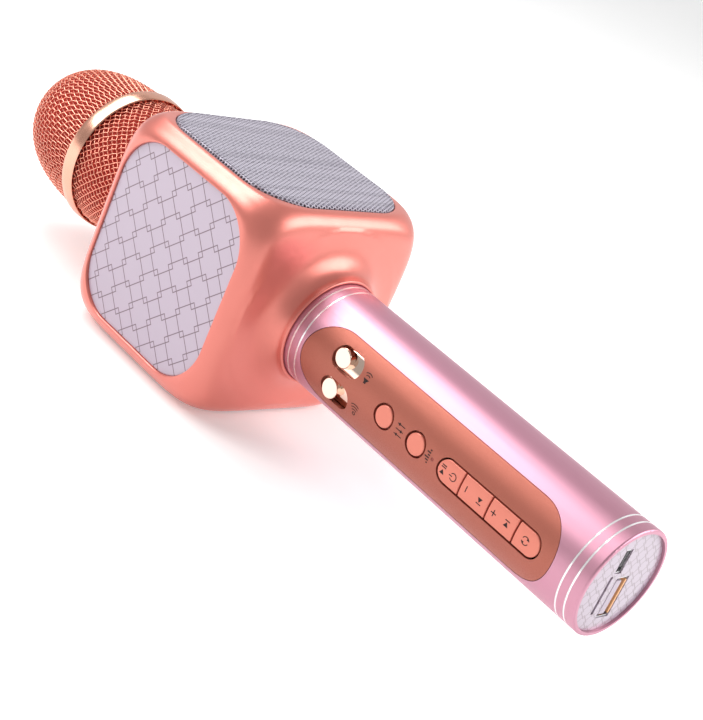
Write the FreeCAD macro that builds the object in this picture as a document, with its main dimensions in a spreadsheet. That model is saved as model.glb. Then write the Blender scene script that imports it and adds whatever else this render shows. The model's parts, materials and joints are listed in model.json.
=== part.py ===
import FreeCAD, Part
import math
import os
import Sketcher

# Karaoke microphone lying on one speaker face.  Every sub-part is drawn in the microphone's own
# frame: X runs along the axis from the handle's base end (0) to the ball, Y points out of the
# control panel and Z out of the upper speaker.  Its Placement then puts it on the ground frame,
# where the handle points to +X, the control panel faces -Y and the lower speaker face is at Z 0.

doc = FreeCAD.newDocument("karaoke_microphone")
sheet = doc.addObject("Spreadsheet::Sheet", "Sizes")


class Size:
    """A length that carries its value and the sheet expression that gives it."""

    def __init__(self, text, value):
        self.text = text
        self.value = value

    def __float__(self):
        return float(self.value)

    def joined(self, sign, other, result):
        return Size("(%s %s %s)" % (self.text, sign, text_of(other)), result)

    def __add__(self, other):
        return self.joined("+", other, self.value + float(other))

    def __sub__(self, other):
        return self.joined("-", other, self.value - float(other))

    def __mul__(self, other):
        return self.joined("*", other, self.value * float(other))

    def __truediv__(self, other):
        return self.joined("/", other, self.value / float(other))

    def __neg__(self):
        return Size("(-%s)" % self.text, -self.value)


def text_of(length):
    return length.text if isinstance(length, Size) else repr(float(length))


def size(alias, value):
    """Add a driving dimension to the sheet and hand it back as a Size."""
    size.row += 1
    cell = "B%d" % size.row
    sheet.set("A%d" % size.row, alias)
    sheet.set(cell, str(value))
    sheet.setAlias(cell, alias)
    return Size("Sizes." + alias, value)


size.row = 0

# ---------------------------------------------------------------- driving dimensions, mm
overall_length = size("overall_length", 275.4)
fit_gap = size("fit_gap", 0.05)

handle_radius = size("handle_radius", 17.3)
handle_wall = size("handle_wall", 1.3)
handle_end = size("handle_end", 141.0)
handle_rim_round = size("handle_rim_round", 0.6)
accent_width = size("accent_width", 0.6)
accent_depth = size("accent_depth", 0.45)
accent_places = [
    size("base_accent_outer_place", 3.7),
    size("base_accent_inner_place", 6.85),
    size("neck_accent_inner_place", 118.1),
    size("neck_accent_outer_place", 121.2),
]

panel_start = size("panel_start", 11.5)
panel_end = size("panel_end", 116.6)
panel_half_arc = size("panel_half_arc", 13.1)
panel_gap = size("panel_gap", 0.2)
panel_skin_radius = size("panel_skin_radius", 17.25)
panel_back_radius = size("panel_back_radius", 15.6)
panel_lip_radius = size("panel_lip_radius", 15.0)
panel_lip_arc = size("panel_lip_arc", 1.2)

cap_top_radius = size("cap_top_radius", 17.2)
cap_bottom = size("cap_bottom", 13.6)
cap_flange_top = size("cap_flange_top", 14.6)
cap_round = size("cap_round", 0.3)
round_cap_radius = size("round_cap_radius", 3.25)
round_cap_hole = size("round_cap_hole", 3.9)
round_cap_flange = size("round_cap_flange", 4.4)
tone_place = size("tone_place", 79.4)
accompaniment_place = size("accompaniment_place", 65.7)
bar_start = size("bar_start", 16.1)
bar_end = size("bar_end", 56.4)
bar_half_width = size("bar_half_width", 4.06)
key_half_width = size("key_half_width", 3.5)
key_flange_half_width = size("key_flange_half_width", 4.9)
key_gap = size("key_gap", 0.5)
key_split_low = size("key_split_low", 25.5)
key_split_middle = size("key_split_middle", 36.05)
key_split_high = size("key_split_high", 46.8)
led_place = size("led_place", 58.5)
led_radius = size("led_radius", 0.5)

slot_start = size("slot_start", 93.5)
slot_end = size("slot_end", 105.6)
slot_offset = size("slot_offset", 5.15)
slot_half_width = size("slot_half_width", 3.7)
knob_radius = size("knob_radius", 3.1)
knob_place = size("knob_place", 101.75)
slider_travel = size("slider_travel", 4.3)
shutter_inner = size("shutter_inner", 14.9)
shutter_outer = size("shutter_outer", 15.4)

board_low = size("board_low", 9.0)
board_thickness = size("board_thickness", 1.6)
board_half_width = size("board_half_width", 10.3)
board_start = size("board_start", 17.5)
board_end = size("board_end", 115.0)
switch_half = size("switch_half", 2.6)
switch_height = size("switch_height", 1.5)
plunger_height = size("plunger_height", 0.6)
plunger_radius = size("plunger_radius", 1.4)
pot_start = size("pot_start", 92.0)
pot_end = size("pot_end", 104.5)
pot_height = size("pot_height", 1.4)
board_screw_offset = size("board_screw_offset", 8.5)
board_screw_shank = size("board_screw_shank", 0.95)
board_screw_head = size("board_screw_head", 1.8)

battery_radius = size("battery_radius", 9.2)
battery_length = size("battery_length", 65.0)
battery_start = size("battery_start", 40.0)
battery_drop = size("battery_drop", 4.5)
chassis_wall = size("chassis_wall", 1.4)
chassis_end_wall = size("chassis_end_wall", 2.5)
chassis_gap = size("chassis_gap", 0.1)

base_plate_recess = size("base_plate_recess", 0.9)
base_plate_thickness = size("base_plate_thickness", 2.0)
port_board_place = size("port_board_place", 15.0)
port_board_radius = size("port_board_radius", 14.2)
port_board_top = size("port_board_top", 8.5)
socket_start = size("socket_start", 1.2)
usb_y = size("usb_y", -0.9)
usb_z = size("usb_z", -5.2)
usb_half_width = size("usb_half_width", 6.55)
usb_half_height = size("usb_half_height", 2.7)
micro_y = size("micro_y", 3.25)
micro_z = size("micro_z", 7.0)
micro_half_width = size("micro_half_width", 3.75)
micro_half_height = size("micro_half_height", 1.35)
card_y = size("card_y", 5.0)
card_z = size("card_z", -3.85)
card_half_width = size("card_half_width", 6.15)
card_half_height = size("card_half_height", 0.6)
shell_wall = size("shell_wall", 0.35)
port_margin = size("port_margin", 0.2)

cube_centre = size("cube_centre", 166.3)
cube_half = size("cube_half", 38.2)
cube_reach = size("cube_reach", 37.2)
cube_flat = size("cube_flat", 36.2)
cube_end_flat = size("cube_end_flat", 35.7)
cavity_half = size("cavity_half", 32.5)
cavity_reach = size("cavity_reach", 31.5)
face_half = size("face_half", 30.15)
face_corner = size("face_corner", 15.9)
face_margin = size("face_margin", 0.25)
face_plane = size("face_plane", 35.0)
light_panel_floor = size("light_panel_floor", 33.0)
light_ledge = size("light_ledge", 31.0)
light_aperture_half = size("light_aperture_half", 26.0)
light_aperture_corner = size("light_aperture_corner", 13.0)
speaker_floor = size("speaker_floor", 31.5)
speaker_ledge = size("speaker_ledge", 29.5)
speaker_aperture = size("speaker_aperture", 26.5)
grille_sheet = size("grille_sheet", 0.8)
grille_skirt = size("grille_skirt", 1.9)
flange_thickness = size("flange_thickness", 1.5)
speaker_screw_offset = size("speaker_screw_offset", 20.5)
speaker_screw_shank = size("speaker_screw_shank", 1.1)
speaker_screw_head = size("speaker_screw_head", 2.0)

collar_lip = size("collar_lip", 123.4)
collar_radius = size("collar_radius", 18.4)
bell_start = size("bell_start", 124.2)
bell_depth = size("bell_depth", 7.0)
bell_radius = size("bell_radius", 31.0)
lock_nut_place = size("lock_nut_place", 135.2)
lock_nut_width = size("lock_nut_width", 4.0)
lock_nut_radius = size("lock_nut_radius", 21.0)

neck_bore = size("neck_bore", 20.0)
neck_start = size("neck_start", 193.0)
neck_flange_place = size("neck_flange_place", 202.0)
neck_flange_end = size("neck_flange_end", 203.2)
neck_wall = size("neck_wall", 2.4)
bowl_centre = size("bowl_centre", 232.0)
bowl_depth = size("bowl_depth", 44.5)
mesh_radius = size("mesh_radius", 24.0)
mesh_wall = size("mesh_wall", 0.9)
band_start = size("band_start", 230.5)
band_end = size("band_end", 235.9)
band_low_radius = size("band_low_radius", 24.7)
band_high_radius = size("band_high_radius", 25.4)
band_web = size("band_web", 0.4)
band_web_radius = size("band_web_radius", 22.4)
dome_depth = size("dome_depth", 39.5)
foam_gap = size("foam_gap", 0.4)
foam_wall = size("foam_wall", 4.0)
capsule_radius = size("capsule_radius", 13.8)
capsule_start = size("capsule_start", 228.2)
capsule_length = size("capsule_length", 15.0)
holder_wall = size("holder_wall", 1.5)
holder_stem = size("holder_stem", 9.0)
doc.recompute()

CUBE_EXPONENT = 5.55    # superellipse exponent of the cube's bulged sides
DOME_EXPONENT = 2.6     # superellipse exponent of the ball's upper half
RIGHT = 90.0
HALF_TURN = 180.0

handle_bore = handle_radius - handle_wall
board_top = board_low + board_thickness
axis_height = cube_flat
mesh_joint = band_start + (band_end - band_start - band_web) / 2

# ---------------------------------------------------------------- building helpers
TURN_TO = {
    "x": FreeCAD.Rotation(FreeCAD.Vector(0, 1, 0), RIGHT),
    "y": FreeCAD.Rotation(FreeCAD.Vector(1, 0, 0), -RIGHT),
    "z": FreeCAD.Rotation(),
}
# The ways a face-mounted piece, drawn facing +Z about the cube's centre, can be turned.
FACING = {
    "upper": FreeCAD.Rotation(),
    "lower": FreeCAD.Rotation(FreeCAD.Vector(1, 0, 0), HALF_TURN),
    "front": FreeCAD.Rotation(FreeCAD.Vector(1, 0, 0), -RIGHT),
    "rear": FreeCAD.Rotation(FreeCAD.Vector(1, 0, 0), RIGHT),
}
GROUND_TURN = FreeCAD.Rotation(FreeCAD.Vector(0, 0, 1), HALF_TURN)
subparts = []


def bind(item, prop, length):
    item.setExpression(prop, text_of(length))


def locate(item, place):
    for letter, length in zip("xyz", place):
        bind(item, "Placement.Base." + letter, length)


def box(name, low, high):
    item = doc.addObject("Part::Box", name)
    for prop, start, end in zip(("Length", "Width", "Height"), low, high):
        bind(item, prop, as_size(end) - start)
    locate(item, low)
    return item


def as_size(length):
    return length if isinstance(length, Size) else Size(text_of(length), float(length))


def rod(name, axis, start, length, radius):
    """A cylinder that runs from a point along an axis."""
    item = doc.addObject("Part::Cylinder", name)
    item.Placement = FreeCAD.Placement(FreeCAD.Vector(), TURN_TO[axis])
    bind(item, "Radius", radius)
    bind(item, "Height", length)
    locate(item, start)
    return item


def fuse(name, *items):
    joined = doc.addObject("Part::MultiFuse", name)
    joined.Shapes = list(items)
    return joined


def common(name, first, second):
    shared = doc.addObject("Part::MultiCommon", name)
    shared.Shapes = [first, second]
    return shared


def cut(name, base, *tools):
    left = doc.addObject("Part::Cut", name)
    left.Base = base
    left.Tool = tools[0] if len(tools) == 1 else fuse(name + "_tools", *tools)
    return left


def feature(name, shape):
    item = doc.addObject("Part::Feature", name)
    item.Shape = shape
    return item


def grouped(name, items):
    """Separate solids of one kind that share a node."""
    group = doc.addObject("Part::Compound", name)
    group.Links = items
    return group


def turned(name, profile, axis="x"):
    """A body revolved about X, or about Z, from a closed profile of (along, radius) corners."""
    body = doc.addObject("PartDesign::Body", name)
    sketch = body.newObject("Sketcher::SketchObject", name + "_profile")
    plane = "XY_Plane" if axis == "x" else "XZ_Plane"
    origin_plane = [part for part in body.Origin.OriginFeatures if part.Role == plane]
    sketch.AttachmentSupport = [(origin_plane[0], "")]
    sketch.MapMode = "FlatFace"
    corners = [pair if axis == "x" else pair[::-1] for pair in profile]
    points = [FreeCAD.Vector(float(across), float(up), 0) for across, up in corners]
    for index, point in enumerate(points):
        following = points[(index + 1) % len(points)]
        sketch.addGeometry(Part.LineSegment(point, following), False)
    for index, corner in enumerate(corners):
        previous = (index - 1) % len(corners)
        sketch.addConstraint(Sketcher.Constraint("Coincident", previous, 2, index, 1))
        for kind, length in zip(("DistanceX", "DistanceY"), corner):
            pin_corner(sketch, index, kind, length)
    revolution = body.newObject("PartDesign::Revolution", name + "_turned")
    revolution.Profile = sketch
    revolution.ReferenceAxis = (sketch, ["H_Axis" if axis == "x" else "V_Axis"])
    revolution.Angle = 2 * HALF_TURN
    return body


def pin_corner(sketch, index, kind, length):
    """Tie one coordinate of a profile corner to its length, or to the axis when it is zero."""
    if float(length) == 0.0:
        other_axis = -1 if kind == "DistanceY" else -2
        sketch.addConstraint(Sketcher.Constraint("PointOnObject", index, 1, other_axis))
        return
    row = sketch.addConstraint(Sketcher.Constraint(kind, -1, 1, index, 1, float(length)))
    sketch.setExpression("Constraints[%d]" % row, text_of(length))


def edges_where(shape, wanted):
    return ["Edge%d" % (index + 1) for index, edge in enumerate(shape.Edges) if wanted(edge)]


def rounded_by(body, base, wanted, radius, name):
    """Fillet the edges of a body's last feature that pass a test."""
    doc.recompute()
    rounding = body.newObject("PartDesign::Fillet", name)
    rounding.Base = (base, edges_where(base.Shape, wanted))
    bind(rounding, "Radius", radius)
    body.Tip = rounding
    return rounding


def slab(name, half, corner, low, high, edge_round=None):
    """A rounded square plate about the Z axis, its upper edge rounded if a radius is given."""
    body = doc.addObject("PartDesign::Body", name)
    block = body.newObject("PartDesign::AdditiveBox", name + "_block")
    bind(block, "Length", half * 2)
    bind(block, "Width", half * 2)
    bind(block, "Height", as_size(high) - low)
    locate(block, (-half, -half, low))
    last = rounded_by(body, block, is_upright, corner, name + "_corners")
    if edge_round is not None:
        top = float(high)
        last = rounded_by(body, last, lambda edge: lies_at(edge, top), edge_round, name + "_edge")
    return body


def is_upright(edge):
    ends = [vertex.Point for vertex in edge.Vertexes]
    return len(ends) == 2 and math.hypot(ends[0].x - ends[1].x, ends[0].y - ends[1].y) < 1e-6


def lies_at(edge, level):
    box_of = edge.BoundBox
    return abs(box_of.ZMin - level) < 1e-6 and abs(box_of.ZMax - level) < 1e-6


def place_part(item, label, centre=None, facing="upper"):
    """Name a finished sub-part and put it on the ground frame."""
    along = centre if centre is not None else Size("0", 0.0)
    item.Label = label
    item.Placement = FreeCAD.Placement(FreeCAD.Vector(), GROUND_TURN.multiply(FACING[facing]))
    locate(item, (overall_length / 2 - along, 0.0, axis_height))
    subparts.append(item)
    return item


def face_part(item, label, facing):
    return place_part(item, label, cube_centre, facing)


def on_face(item, facing):
    """Turn a cutting tool drawn facing +Z to one of the cube's faces."""
    item.Placement = FreeCAD.Placement(FreeCAD.Vector(), FACING[facing])
    locate(item, (cube_centre, 0.0, 0.0))
    return item


# ---------------------------------------------------------------- formula curves
def superellipse_wire(half, exponent, along, count=48):
    """A closed superellipse across the X axis."""
    points = []
    for index in range(count):
        angle = 2 * math.pi * index / count
        across = math.copysign(abs(math.cos(angle)) ** (2 / exponent), math.cos(angle))
        up = math.copysign(abs(math.sin(angle)) ** (2 / exponent), math.sin(angle))
        points.append(FreeCAD.Vector(along, half * across, half * up))
    curve = Part.BSplineCurve()
    curve.interpolate(Points=points, PeriodicFlag=True)
    return Part.Wire([curve.toShape()])


def bulged_cube(half, reach, centre):
    """A superellipsoid block, cut square to X at its reach, lofted from superellipse sections."""
    half = float(half)
    last_angle = math.asin((float(reach) / half) ** (CUBE_EXPONENT / 2))
    steps = 7
    angles = [last_angle * (index / steps) for index in range(steps + 1)]
    offsets = [half * math.sin(angle) ** (2 / CUBE_EXPONENT) for angle in angles]
    halves = [half * math.cos(angle) ** (2 / CUBE_EXPONENT) for angle in angles]
    stations = [(-offset, size_here) for offset, size_here in zip(offsets, halves)][:0:-1]
    stations += list(zip(offsets, halves))
    wires = [superellipse_wire(size_here, CUBE_EXPONENT, float(centre) + offset)
             for offset, size_here in stations]
    return Part.makeLoft(wires, True, False)


def revolved(curves):
    """The solid swept about X by a closed run of curves."""
    face = Part.Face(Part.Wire([curve.toShape() for curve in curves]))
    return face.revolve(FreeCAD.Vector(), FreeCAD.Vector(1, 0, 0), 2 * HALF_TURN)


def dome_curve(start, depth, radius, count=14):
    """The superellipse from the rim of a dome to its apex."""
    points = []
    for index in range(count + 1):
        angle = math.pi / 2 * index / count
        along = depth * math.sin(angle) ** (2 / DOME_EXPONENT) if index else 0.0
        across = radius * math.cos(angle) ** (2 / DOME_EXPONENT) if index < count else 0.0
        points.append(FreeCAD.Vector(start + along, across, 0))
    curve = Part.BSplineCurve()
    curve.interpolate(Points=points)
    return curve


def dome_shell(rim, start, depth, radius, wall):
    """A thin dome with a short straight skirt from rim to start."""
    outer = dome_curve(start, depth, radius)
    inner = dome_curve(start, depth - wall, radius - wall)
    apex_outer = FreeCAD.Vector(start + depth, 0, 0)
    apex_inner = FreeCAD.Vector(start + depth - wall, 0, 0)
    corners = [FreeCAD.Vector(start, radius, 0), FreeCAD.Vector(rim, radius, 0),
               FreeCAD.Vector(rim, radius - wall, 0), FreeCAD.Vector(start, radius - wall, 0)]
    skirt = [Part.LineSegment(first, second) for first, second in zip(corners, corners[1:])]
    return revolved([outer, *skirt, inner, Part.LineSegment(apex_inner, apex_outer)])


def bowl_arc(centre, depth, radius, start, end):
    """Part of an ellipse centred on the axis, from one station to another."""
    ellipse = Part.Ellipse(FreeCAD.Vector(centre, 0, 0), depth, radius)
    first = math.acos((start - centre) / depth)
    last = math.acos((end - centre) / depth)
    return Part.ArcOfEllipse(ellipse, min(first, last), max(first, last))


def arc_to_height(arc):
    """The height above the axis plane of a point at an arc distance round the handle."""
    return float(handle_radius) * math.sin(arc / float(handle_radius))


def wrapped_obround(start, end, half_arc, low, high):
    """A prism along Y whose outline is an obround wrapped round the handle's skin."""
    start, end, half_arc = float(start), float(end), float(half_arc)
    steps = 12
    ends = []
    for centre, side in ((end - half_arc, 1), (start + half_arc, -1)):
        points = []
        for index in range(steps + 1):
            angle = math.pi * (0.5 - index / steps)
            height = arc_to_height(side * half_arc * math.sin(angle))
            points.append(FreeCAD.Vector(centre + side * half_arc * math.cos(angle), low, height))
        curve = Part.BSplineCurve()
        curve.interpolate(Points=points)
        ends.append(curve)
    first, second = ends
    sides = [Part.LineSegment(first.EndPoint, second.StartPoint),
             Part.LineSegment(second.EndPoint, first.StartPoint)]
    outline = Part.Wire([first.toShape(), sides[0].toShape(), second.toShape(), sides[1].toShape()])
    return Part.Face(outline).extrude(FreeCAD.Vector(0, high - low, 0))


def skin_ring(name, inner, outer, start, end):
    """A tube about the handle's axis."""
    length = end - start
    return cut(name, rod(name + "_outer", "x", (start, 0, 0), length, outer),
               rod(name + "_bore", "x", (start, 0, 0), length, inner))


def slot_cutter(name, start, end, height, half_width, low, high):
    """An obround prism along Y."""
    length = as_size(high) - low
    middle = box(name + "_middle", (start + half_width, low, as_size(height) - half_width),
                 (end - half_width, high, as_size(height) + half_width))
    ends = [rod(name + "_end_%d" % index, "y", (place, low, height), length, half_width)
            for index, place in enumerate((start + half_width, end - half_width))]
    return fuse(name, middle, *ends)


def round_cap(name, place, bottom, top, height, radius):
    """A button cap along Y with its upper edge rounded."""
    body = doc.addObject("PartDesign::Body", name)
    cylinder = body.newObject("PartDesign::AdditiveCylinder", name + "_cylinder")
    bind(cylinder, "Radius", radius)
    bind(cylinder, "Height", as_size(top) - bottom)
    level = float(as_size(top) - bottom)
    rounded_by(body, cylinder, lambda edge: lies_at(edge, level), cap_round, name + "_edge")
    body.Placement = FreeCAD.Placement(FreeCAD.Vector(), TURN_TO["y"])
    locate(body, (place, bottom, height))
    return body


# ---------------------------------------------------------------- handle
def accent_groove(place, bottom):
    half = accent_width / 2
    return [(place - half, handle_radius), (place - half, bottom),
            (place + half, bottom), (place + half, handle_radius)]


def build_handle_tube():
    groove_bottom = handle_radius - accent_depth
    profile = [(0.0, handle_bore), (0.0, handle_radius)]
    for place in accent_places:
        profile += accent_groove(place, groove_bottom)
    profile += [(handle_end, handle_radius), (handle_end, handle_bore)]
    tube = turned("handle_tube_blank", profile)
    rim = lambda edge: edge.BoundBox.XMax < 1e-6 and edge.BoundBox.YMax > float(handle_bore) + 0.1
    rounded_by(tube, tube.Tip, rim, handle_rim_round, "handle_rim")
    opening = feature("control_opening", wrapped_obround(
        panel_start, panel_end, panel_half_arc, 8.0, 20.0))
    place_part(cut("handle_tube", tube, opening), "handle_tube")


def build_accent_rings():
    names = ("base_accent_ring_outer", "base_accent_ring_inner",
             "neck_accent_ring_inner", "neck_accent_ring_outer")
    for label, place in zip(names, accent_places):
        half = accent_width / 2 - fit_gap / 2
        inner = handle_radius - accent_depth + fit_gap
        outer = handle_radius - fit_gap / 2
        ring = turned(label, [(place - half, inner), (place - half, outer),
                              (place + half, outer), (place + half, inner)])
        place_part(ring, label)


def build_control_panel():
    skin = skin_ring("panel_skin", panel_back_radius, panel_skin_radius, panel_start, panel_end)
    inset = panel_gap
    plate = common("panel_plate", skin, feature("panel_outline", wrapped_obround(
        panel_start + inset, panel_end - inset, panel_half_arc - inset, 8.0, 20.0)))
    reach = panel_lip_arc
    lip_ring = skin_ring("panel_lip_ring", panel_lip_radius, handle_bore - fit_gap,
                         panel_start - reach, panel_end + reach)
    wide = feature("panel_lip_outline", wrapped_obround(
        panel_start - reach, panel_end + reach, panel_half_arc + reach, 8.0, 20.0))
    narrow = feature("panel_lip_inside", wrapped_obround(
        panel_start + reach, panel_end - reach, panel_half_arc - reach, 7.0, 21.0))
    lip = common("panel_lip", lip_ring, cut("panel_lip_frame", wide, narrow))
    blank = fuse("panel_blank", plate, lip)
    openings = [slot_cutter("bar_opening", bar_start, bar_end, 0.0, bar_half_width, 8.0, 20.0)]
    for name, height in (("volume", slot_offset), ("echo", -slot_offset)):
        openings.append(slot_cutter(name + "_slot", slot_start, slot_end, height,
                                    slot_half_width, 8.0, 20.0))
    for name, place in (("tone", tone_place), ("accompaniment", accompaniment_place)):
        openings.append(rod(name + "_hole", "y", (place, 8.0, 0.0), 12.0, round_cap_hole))
    openings.append(rod("led_hole", "y", (led_place, 8.0, 0.0), 12.0, led_radius + fit_gap))
    place_part(cut("control_panel", blank, *openings), "control_panel")


def build_round_button(label, place):
    cap = round_cap(label + "_cap", place, cap_bottom, cap_top_radius, 0.0, round_cap_radius)
    flange = rod(label + "_flange", "y", (place, cap_bottom, 0.0), cap_flange_top - cap_bottom,
                 round_cap_flange)
    place_part(fuse(label, cap, flange), label)


def key_cap(start, end, round_low, round_high):
    """The cap of one bar key: an upright prism topped by the handle's curved skin."""
    half = float(key_half_width)
    foot = float(cap_bottom)
    rise = float(panel_skin_radius) + 1.0 - foot
    low = start + half if round_low else start
    high = end - half if round_high else end
    prism = Part.makeBox(high - low, rise, 2 * half, FreeCAD.Vector(low, foot, -half))
    for centre, wanted in ((low, round_low), (high, round_high)):
        if wanted:
            prism = prism.fuse(Part.makeCylinder(half, rise, FreeCAD.Vector(centre, foot, 0),
                                                 FreeCAD.Vector(0, 1, 0)))
    skin = Part.makeCylinder(float(cap_top_radius), end - start + 2.0,
                             FreeCAD.Vector(start - 1.0, 0, 0), FreeCAD.Vector(1, 0, 0))
    cap = prism.removeSplitter().common(skin)
    on_top = [edge for edge in cap.Edges if all(
        abs(math.hypot(vertex.Y, vertex.Z) - float(cap_top_radius)) < 1e-3
        for vertex in edge.Vertexes)]
    return cap.makeFillet(float(cap_round), on_top)


def build_bar_key(label, start, end, round_low=False, round_high=False):
    """One key of the button bar."""
    cap = feature(label + "_cap", key_cap(float(start), float(end), round_low, round_high))
    low = start + key_half_width if round_low else start
    high = end - key_half_width if round_high else end
    flange = box(label + "_flange", (low, cap_bottom, -key_flange_half_width),
                 (high, cap_flange_top, key_flange_half_width))
    place_part(fuse(label, cap, flange), label)


def build_slider(label, side):
    """A slider knob with the curved shutter that closes its slot and the lever below it."""
    height = slot_offset * side
    knob_top = math.sqrt(float(panel_skin_radius) ** 2 - float(slot_offset) ** 2)
    knob_foot = shutter_inner * 0.96
    knob = round_cap(label + "_knob", knob_place, knob_foot, knob_top, height, knob_radius)
    start = slot_start - 0.6
    end = slot_end + slider_travel + 0.6
    ring = skin_ring(label + "_shutter_ring", shutter_inner, shutter_outer, start, end)
    low = height - slot_half_width - 0.35
    high = height + slot_half_width + 0.35
    window = box(label + "_shutter_window", (start, 8.0, low), (end, 18.0, high))
    shutter = common(label + "_shutter", ring, window)
    lever = box(label + "_lever", (knob_place - 1.0, board_top + pot_height + 0.1, height - 0.6),
                (knob_place + 1.0, knob_foot + 0.4, height + 0.6))
    place_part(fuse(label, knob, shutter, lever), label)


# ---------------------------------------------------------------- electronics in the handle
def build_boards():
    board = box("board_blank", (board_start, board_low, -board_half_width),
                (board_end, board_top, board_half_width))
    holes = [rod("board_hole_%d" % index, "y", (along, board_low - 1.0, height),
                 board_thickness + 2.0, board_screw_shank + fit_gap)
             for index, (along, height) in enumerate(board_screw_places())]
    place_part(cut("main_circuit_board", board, *holes), "main_circuit_board")
    disc = rod("port_board_disc", "x", (port_board_place, 0, 0), board_thickness, port_board_radius)
    top = box("port_board_trim", (port_board_place - 1.0, port_board_top, -20.0),
              (port_board_place + board_thickness + 1.0, 20.0, 20.0))
    place_part(cut("port_circuit_board", disc, top), "port_circuit_board")


def board_screw_places():
    first = battery_start - chassis_gap - chassis_end_wall / 2
    last = battery_start + battery_length + chassis_gap + chassis_end_wall / 2
    return [(along, board_screw_offset * side) for along in (first, last) for side in (-1, 1)]


def build_board_screws():
    screws = []
    shank = 4.5
    for index, (along, height) in enumerate(board_screw_places()):
        stem = rod("board_screw_stem_%d" % index, "y", (along, board_top - shank, height), shank,
                   board_screw_shank)
        head = rod("board_screw_head_%d" % index, "y", (along, board_top, height), 0.9,
                   board_screw_head)
        screws.append(fuse("board_screw_%d" % index, stem, head))
    place_part(grouped("board_screws", screws), "board_screws")


def build_switches():
    places = {
        "tone": tone_place,
        "accompaniment": accompaniment_place,
        "power": (key_split_high + bar_end) / 2,
        "previous": (key_split_middle + key_split_high) / 2,
        "next": (key_split_low + key_split_middle) / 2,
        "mode": (bar_start + key_split_low) / 2,
    }
    for name, place in places.items():
        label = name + "_switch"
        body = box(label + "_body", (place - switch_half, board_top, -switch_half),
                   (place + switch_half, board_top + switch_height, switch_half))
        plunger = rod(label + "_plunger", "y", (place, board_top, 0.0),
                      switch_height + plunger_height, plunger_radius)
        place_part(fuse(label, body, plunger), label)


def build_slide_pots():
    for name, side in (("volume", 1), ("echo", -1)):
        label = name + "_slide_pot"
        height = slot_offset * side
        case = box(label + "_case", (pot_start, board_top, height - 3.3),
                   (pot_end, board_top + pot_height, height + 3.3))
        tabs = box(label + "_tabs", (pot_start - 1.0, board_top, height - 1.5),
                   (pot_end + 1.0, board_top + 0.4, height + 1.5))
        place_part(fuse(label, case, tabs), label)


def build_battery():
    cell = rod("battery_can", "x", (battery_start, -battery_drop, 0), battery_length - 1.0,
               battery_radius)
    tip = rod("battery_tip", "x", (battery_start + battery_length - 1.0, -battery_drop, 0), 1.0, 3.0)
    place_part(fuse("battery_cell", cell, tip), "battery_cell")


def build_chassis():
    """The moulded frame that holds the battery and carries the main board."""
    start = battery_start - chassis_gap - chassis_end_wall
    end = battery_start + battery_length + chassis_gap + chassis_end_wall
    outer = battery_radius + chassis_gap + chassis_wall
    trough = rod("chassis_trough", "x", (start, -battery_drop, 0), end - start, outer)
    lower = box("chassis_lower", (start, -20.0, -20.0), (end, -battery_drop, 20.0))
    half = common("chassis_half", trough, lower)
    walls = [box("chassis_wall_%s" % name, (start, -battery_drop, low), (end, board_low, high))
             for name, low, high in (("low", -outer, chassis_wall - outer),
                                     ("high", outer - chassis_wall, outer))]
    ends = []
    for index, along in enumerate((start, end - chassis_end_wall)):
        disc = rod("chassis_disc_%d" % index, "x", (along, 0, 0), chassis_end_wall,
                   handle_bore - fit_gap)
        keep = box("chassis_disc_keep_%d" % index, (along, -20.0, -20.0),
                   (along + chassis_end_wall, board_low, 20.0))
        ends.append(common("chassis_end_%d" % index, disc, keep))
    blank = fuse("chassis_blank", half, *walls, *ends)
    room = rod("chassis_room", "x", (battery_start - chassis_gap, -battery_drop, 0),
               battery_length + chassis_gap * 2, battery_radius + chassis_gap)
    pilots = [rod("chassis_pilot_%d" % index, "y", (along, board_low - 3.2, height), 4.0,
                  board_screw_shank + fit_gap)
              for index, (along, height) in enumerate(board_screw_places())]
    place_part(cut("inner_chassis", blank, room, *pilots), "inner_chassis")


# ---------------------------------------------------------------- base end
def port_cutter(name, centre_y, centre_z, half_width, half_height, margin):
    return box(name, (0.0, centre_y - half_height - margin, centre_z - half_width - margin),
               (10.0, centre_y + half_height + margin, centre_z + half_width + margin))


def build_base_plate():
    disc = rod("base_plate_disc", "x", (base_plate_recess, 0, 0), base_plate_thickness,
               handle_bore - fit_gap)
    cutters = [
        port_cutter("usb_window", usb_y, usb_z, usb_half_width, usb_half_height, port_margin),
        port_cutter("micro_window", micro_y, micro_z, micro_half_width, micro_half_height,
                    port_margin),
        port_cutter("card_window", card_y, card_z, card_half_width, card_half_height, 0.0),
    ]
    place_part(cut("base_plate", disc, *cutters), "base_plate")


def build_socket(label, centre, halves, tongue_low, tongue_high, tongue_reach):
    """A folded metal socket shell with its contact tongue, closed at the back."""
    centre_y, centre_z = centre
    half_width, half_height = halves
    back = port_board_place - 1.5
    shell = box(label + "_shell", (socket_start, centre_y - half_height, centre_z - half_width),
                (port_board_place, centre_y + half_height, centre_z + half_width))
    inside_height = half_height - shell_wall
    inside_width = half_width - shell_wall
    hollow = box(label + "_hollow", (0.0, centre_y - inside_height, centre_z - inside_width),
                 (back, centre_y + inside_height, centre_z + inside_width))
    tongue = box(label + "_tongue", (tongue_reach, centre_y + tongue_low, centre_z - inside_width + 0.6),
                 (back + 0.5, centre_y + tongue_high, centre_z + inside_width - 0.6))
    place_part(fuse(label, cut(label + "_case", shell, hollow), tongue), label)


def build_card_socket():
    start = base_plate_recess + base_plate_thickness
    case = box("card_case", (start, card_y - 0.95, card_z - card_half_width - 0.6),
               (port_board_place, card_y + 0.95, card_z + card_half_width + 0.6))
    slot = box("card_slot", (start - 1.0, card_y - card_half_height, card_z - card_half_width),
               (port_board_place - 1.5, card_y + card_half_height, card_z + card_half_width))
    place_part(cut("card_socket", case, slot), "card_socket")


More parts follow.
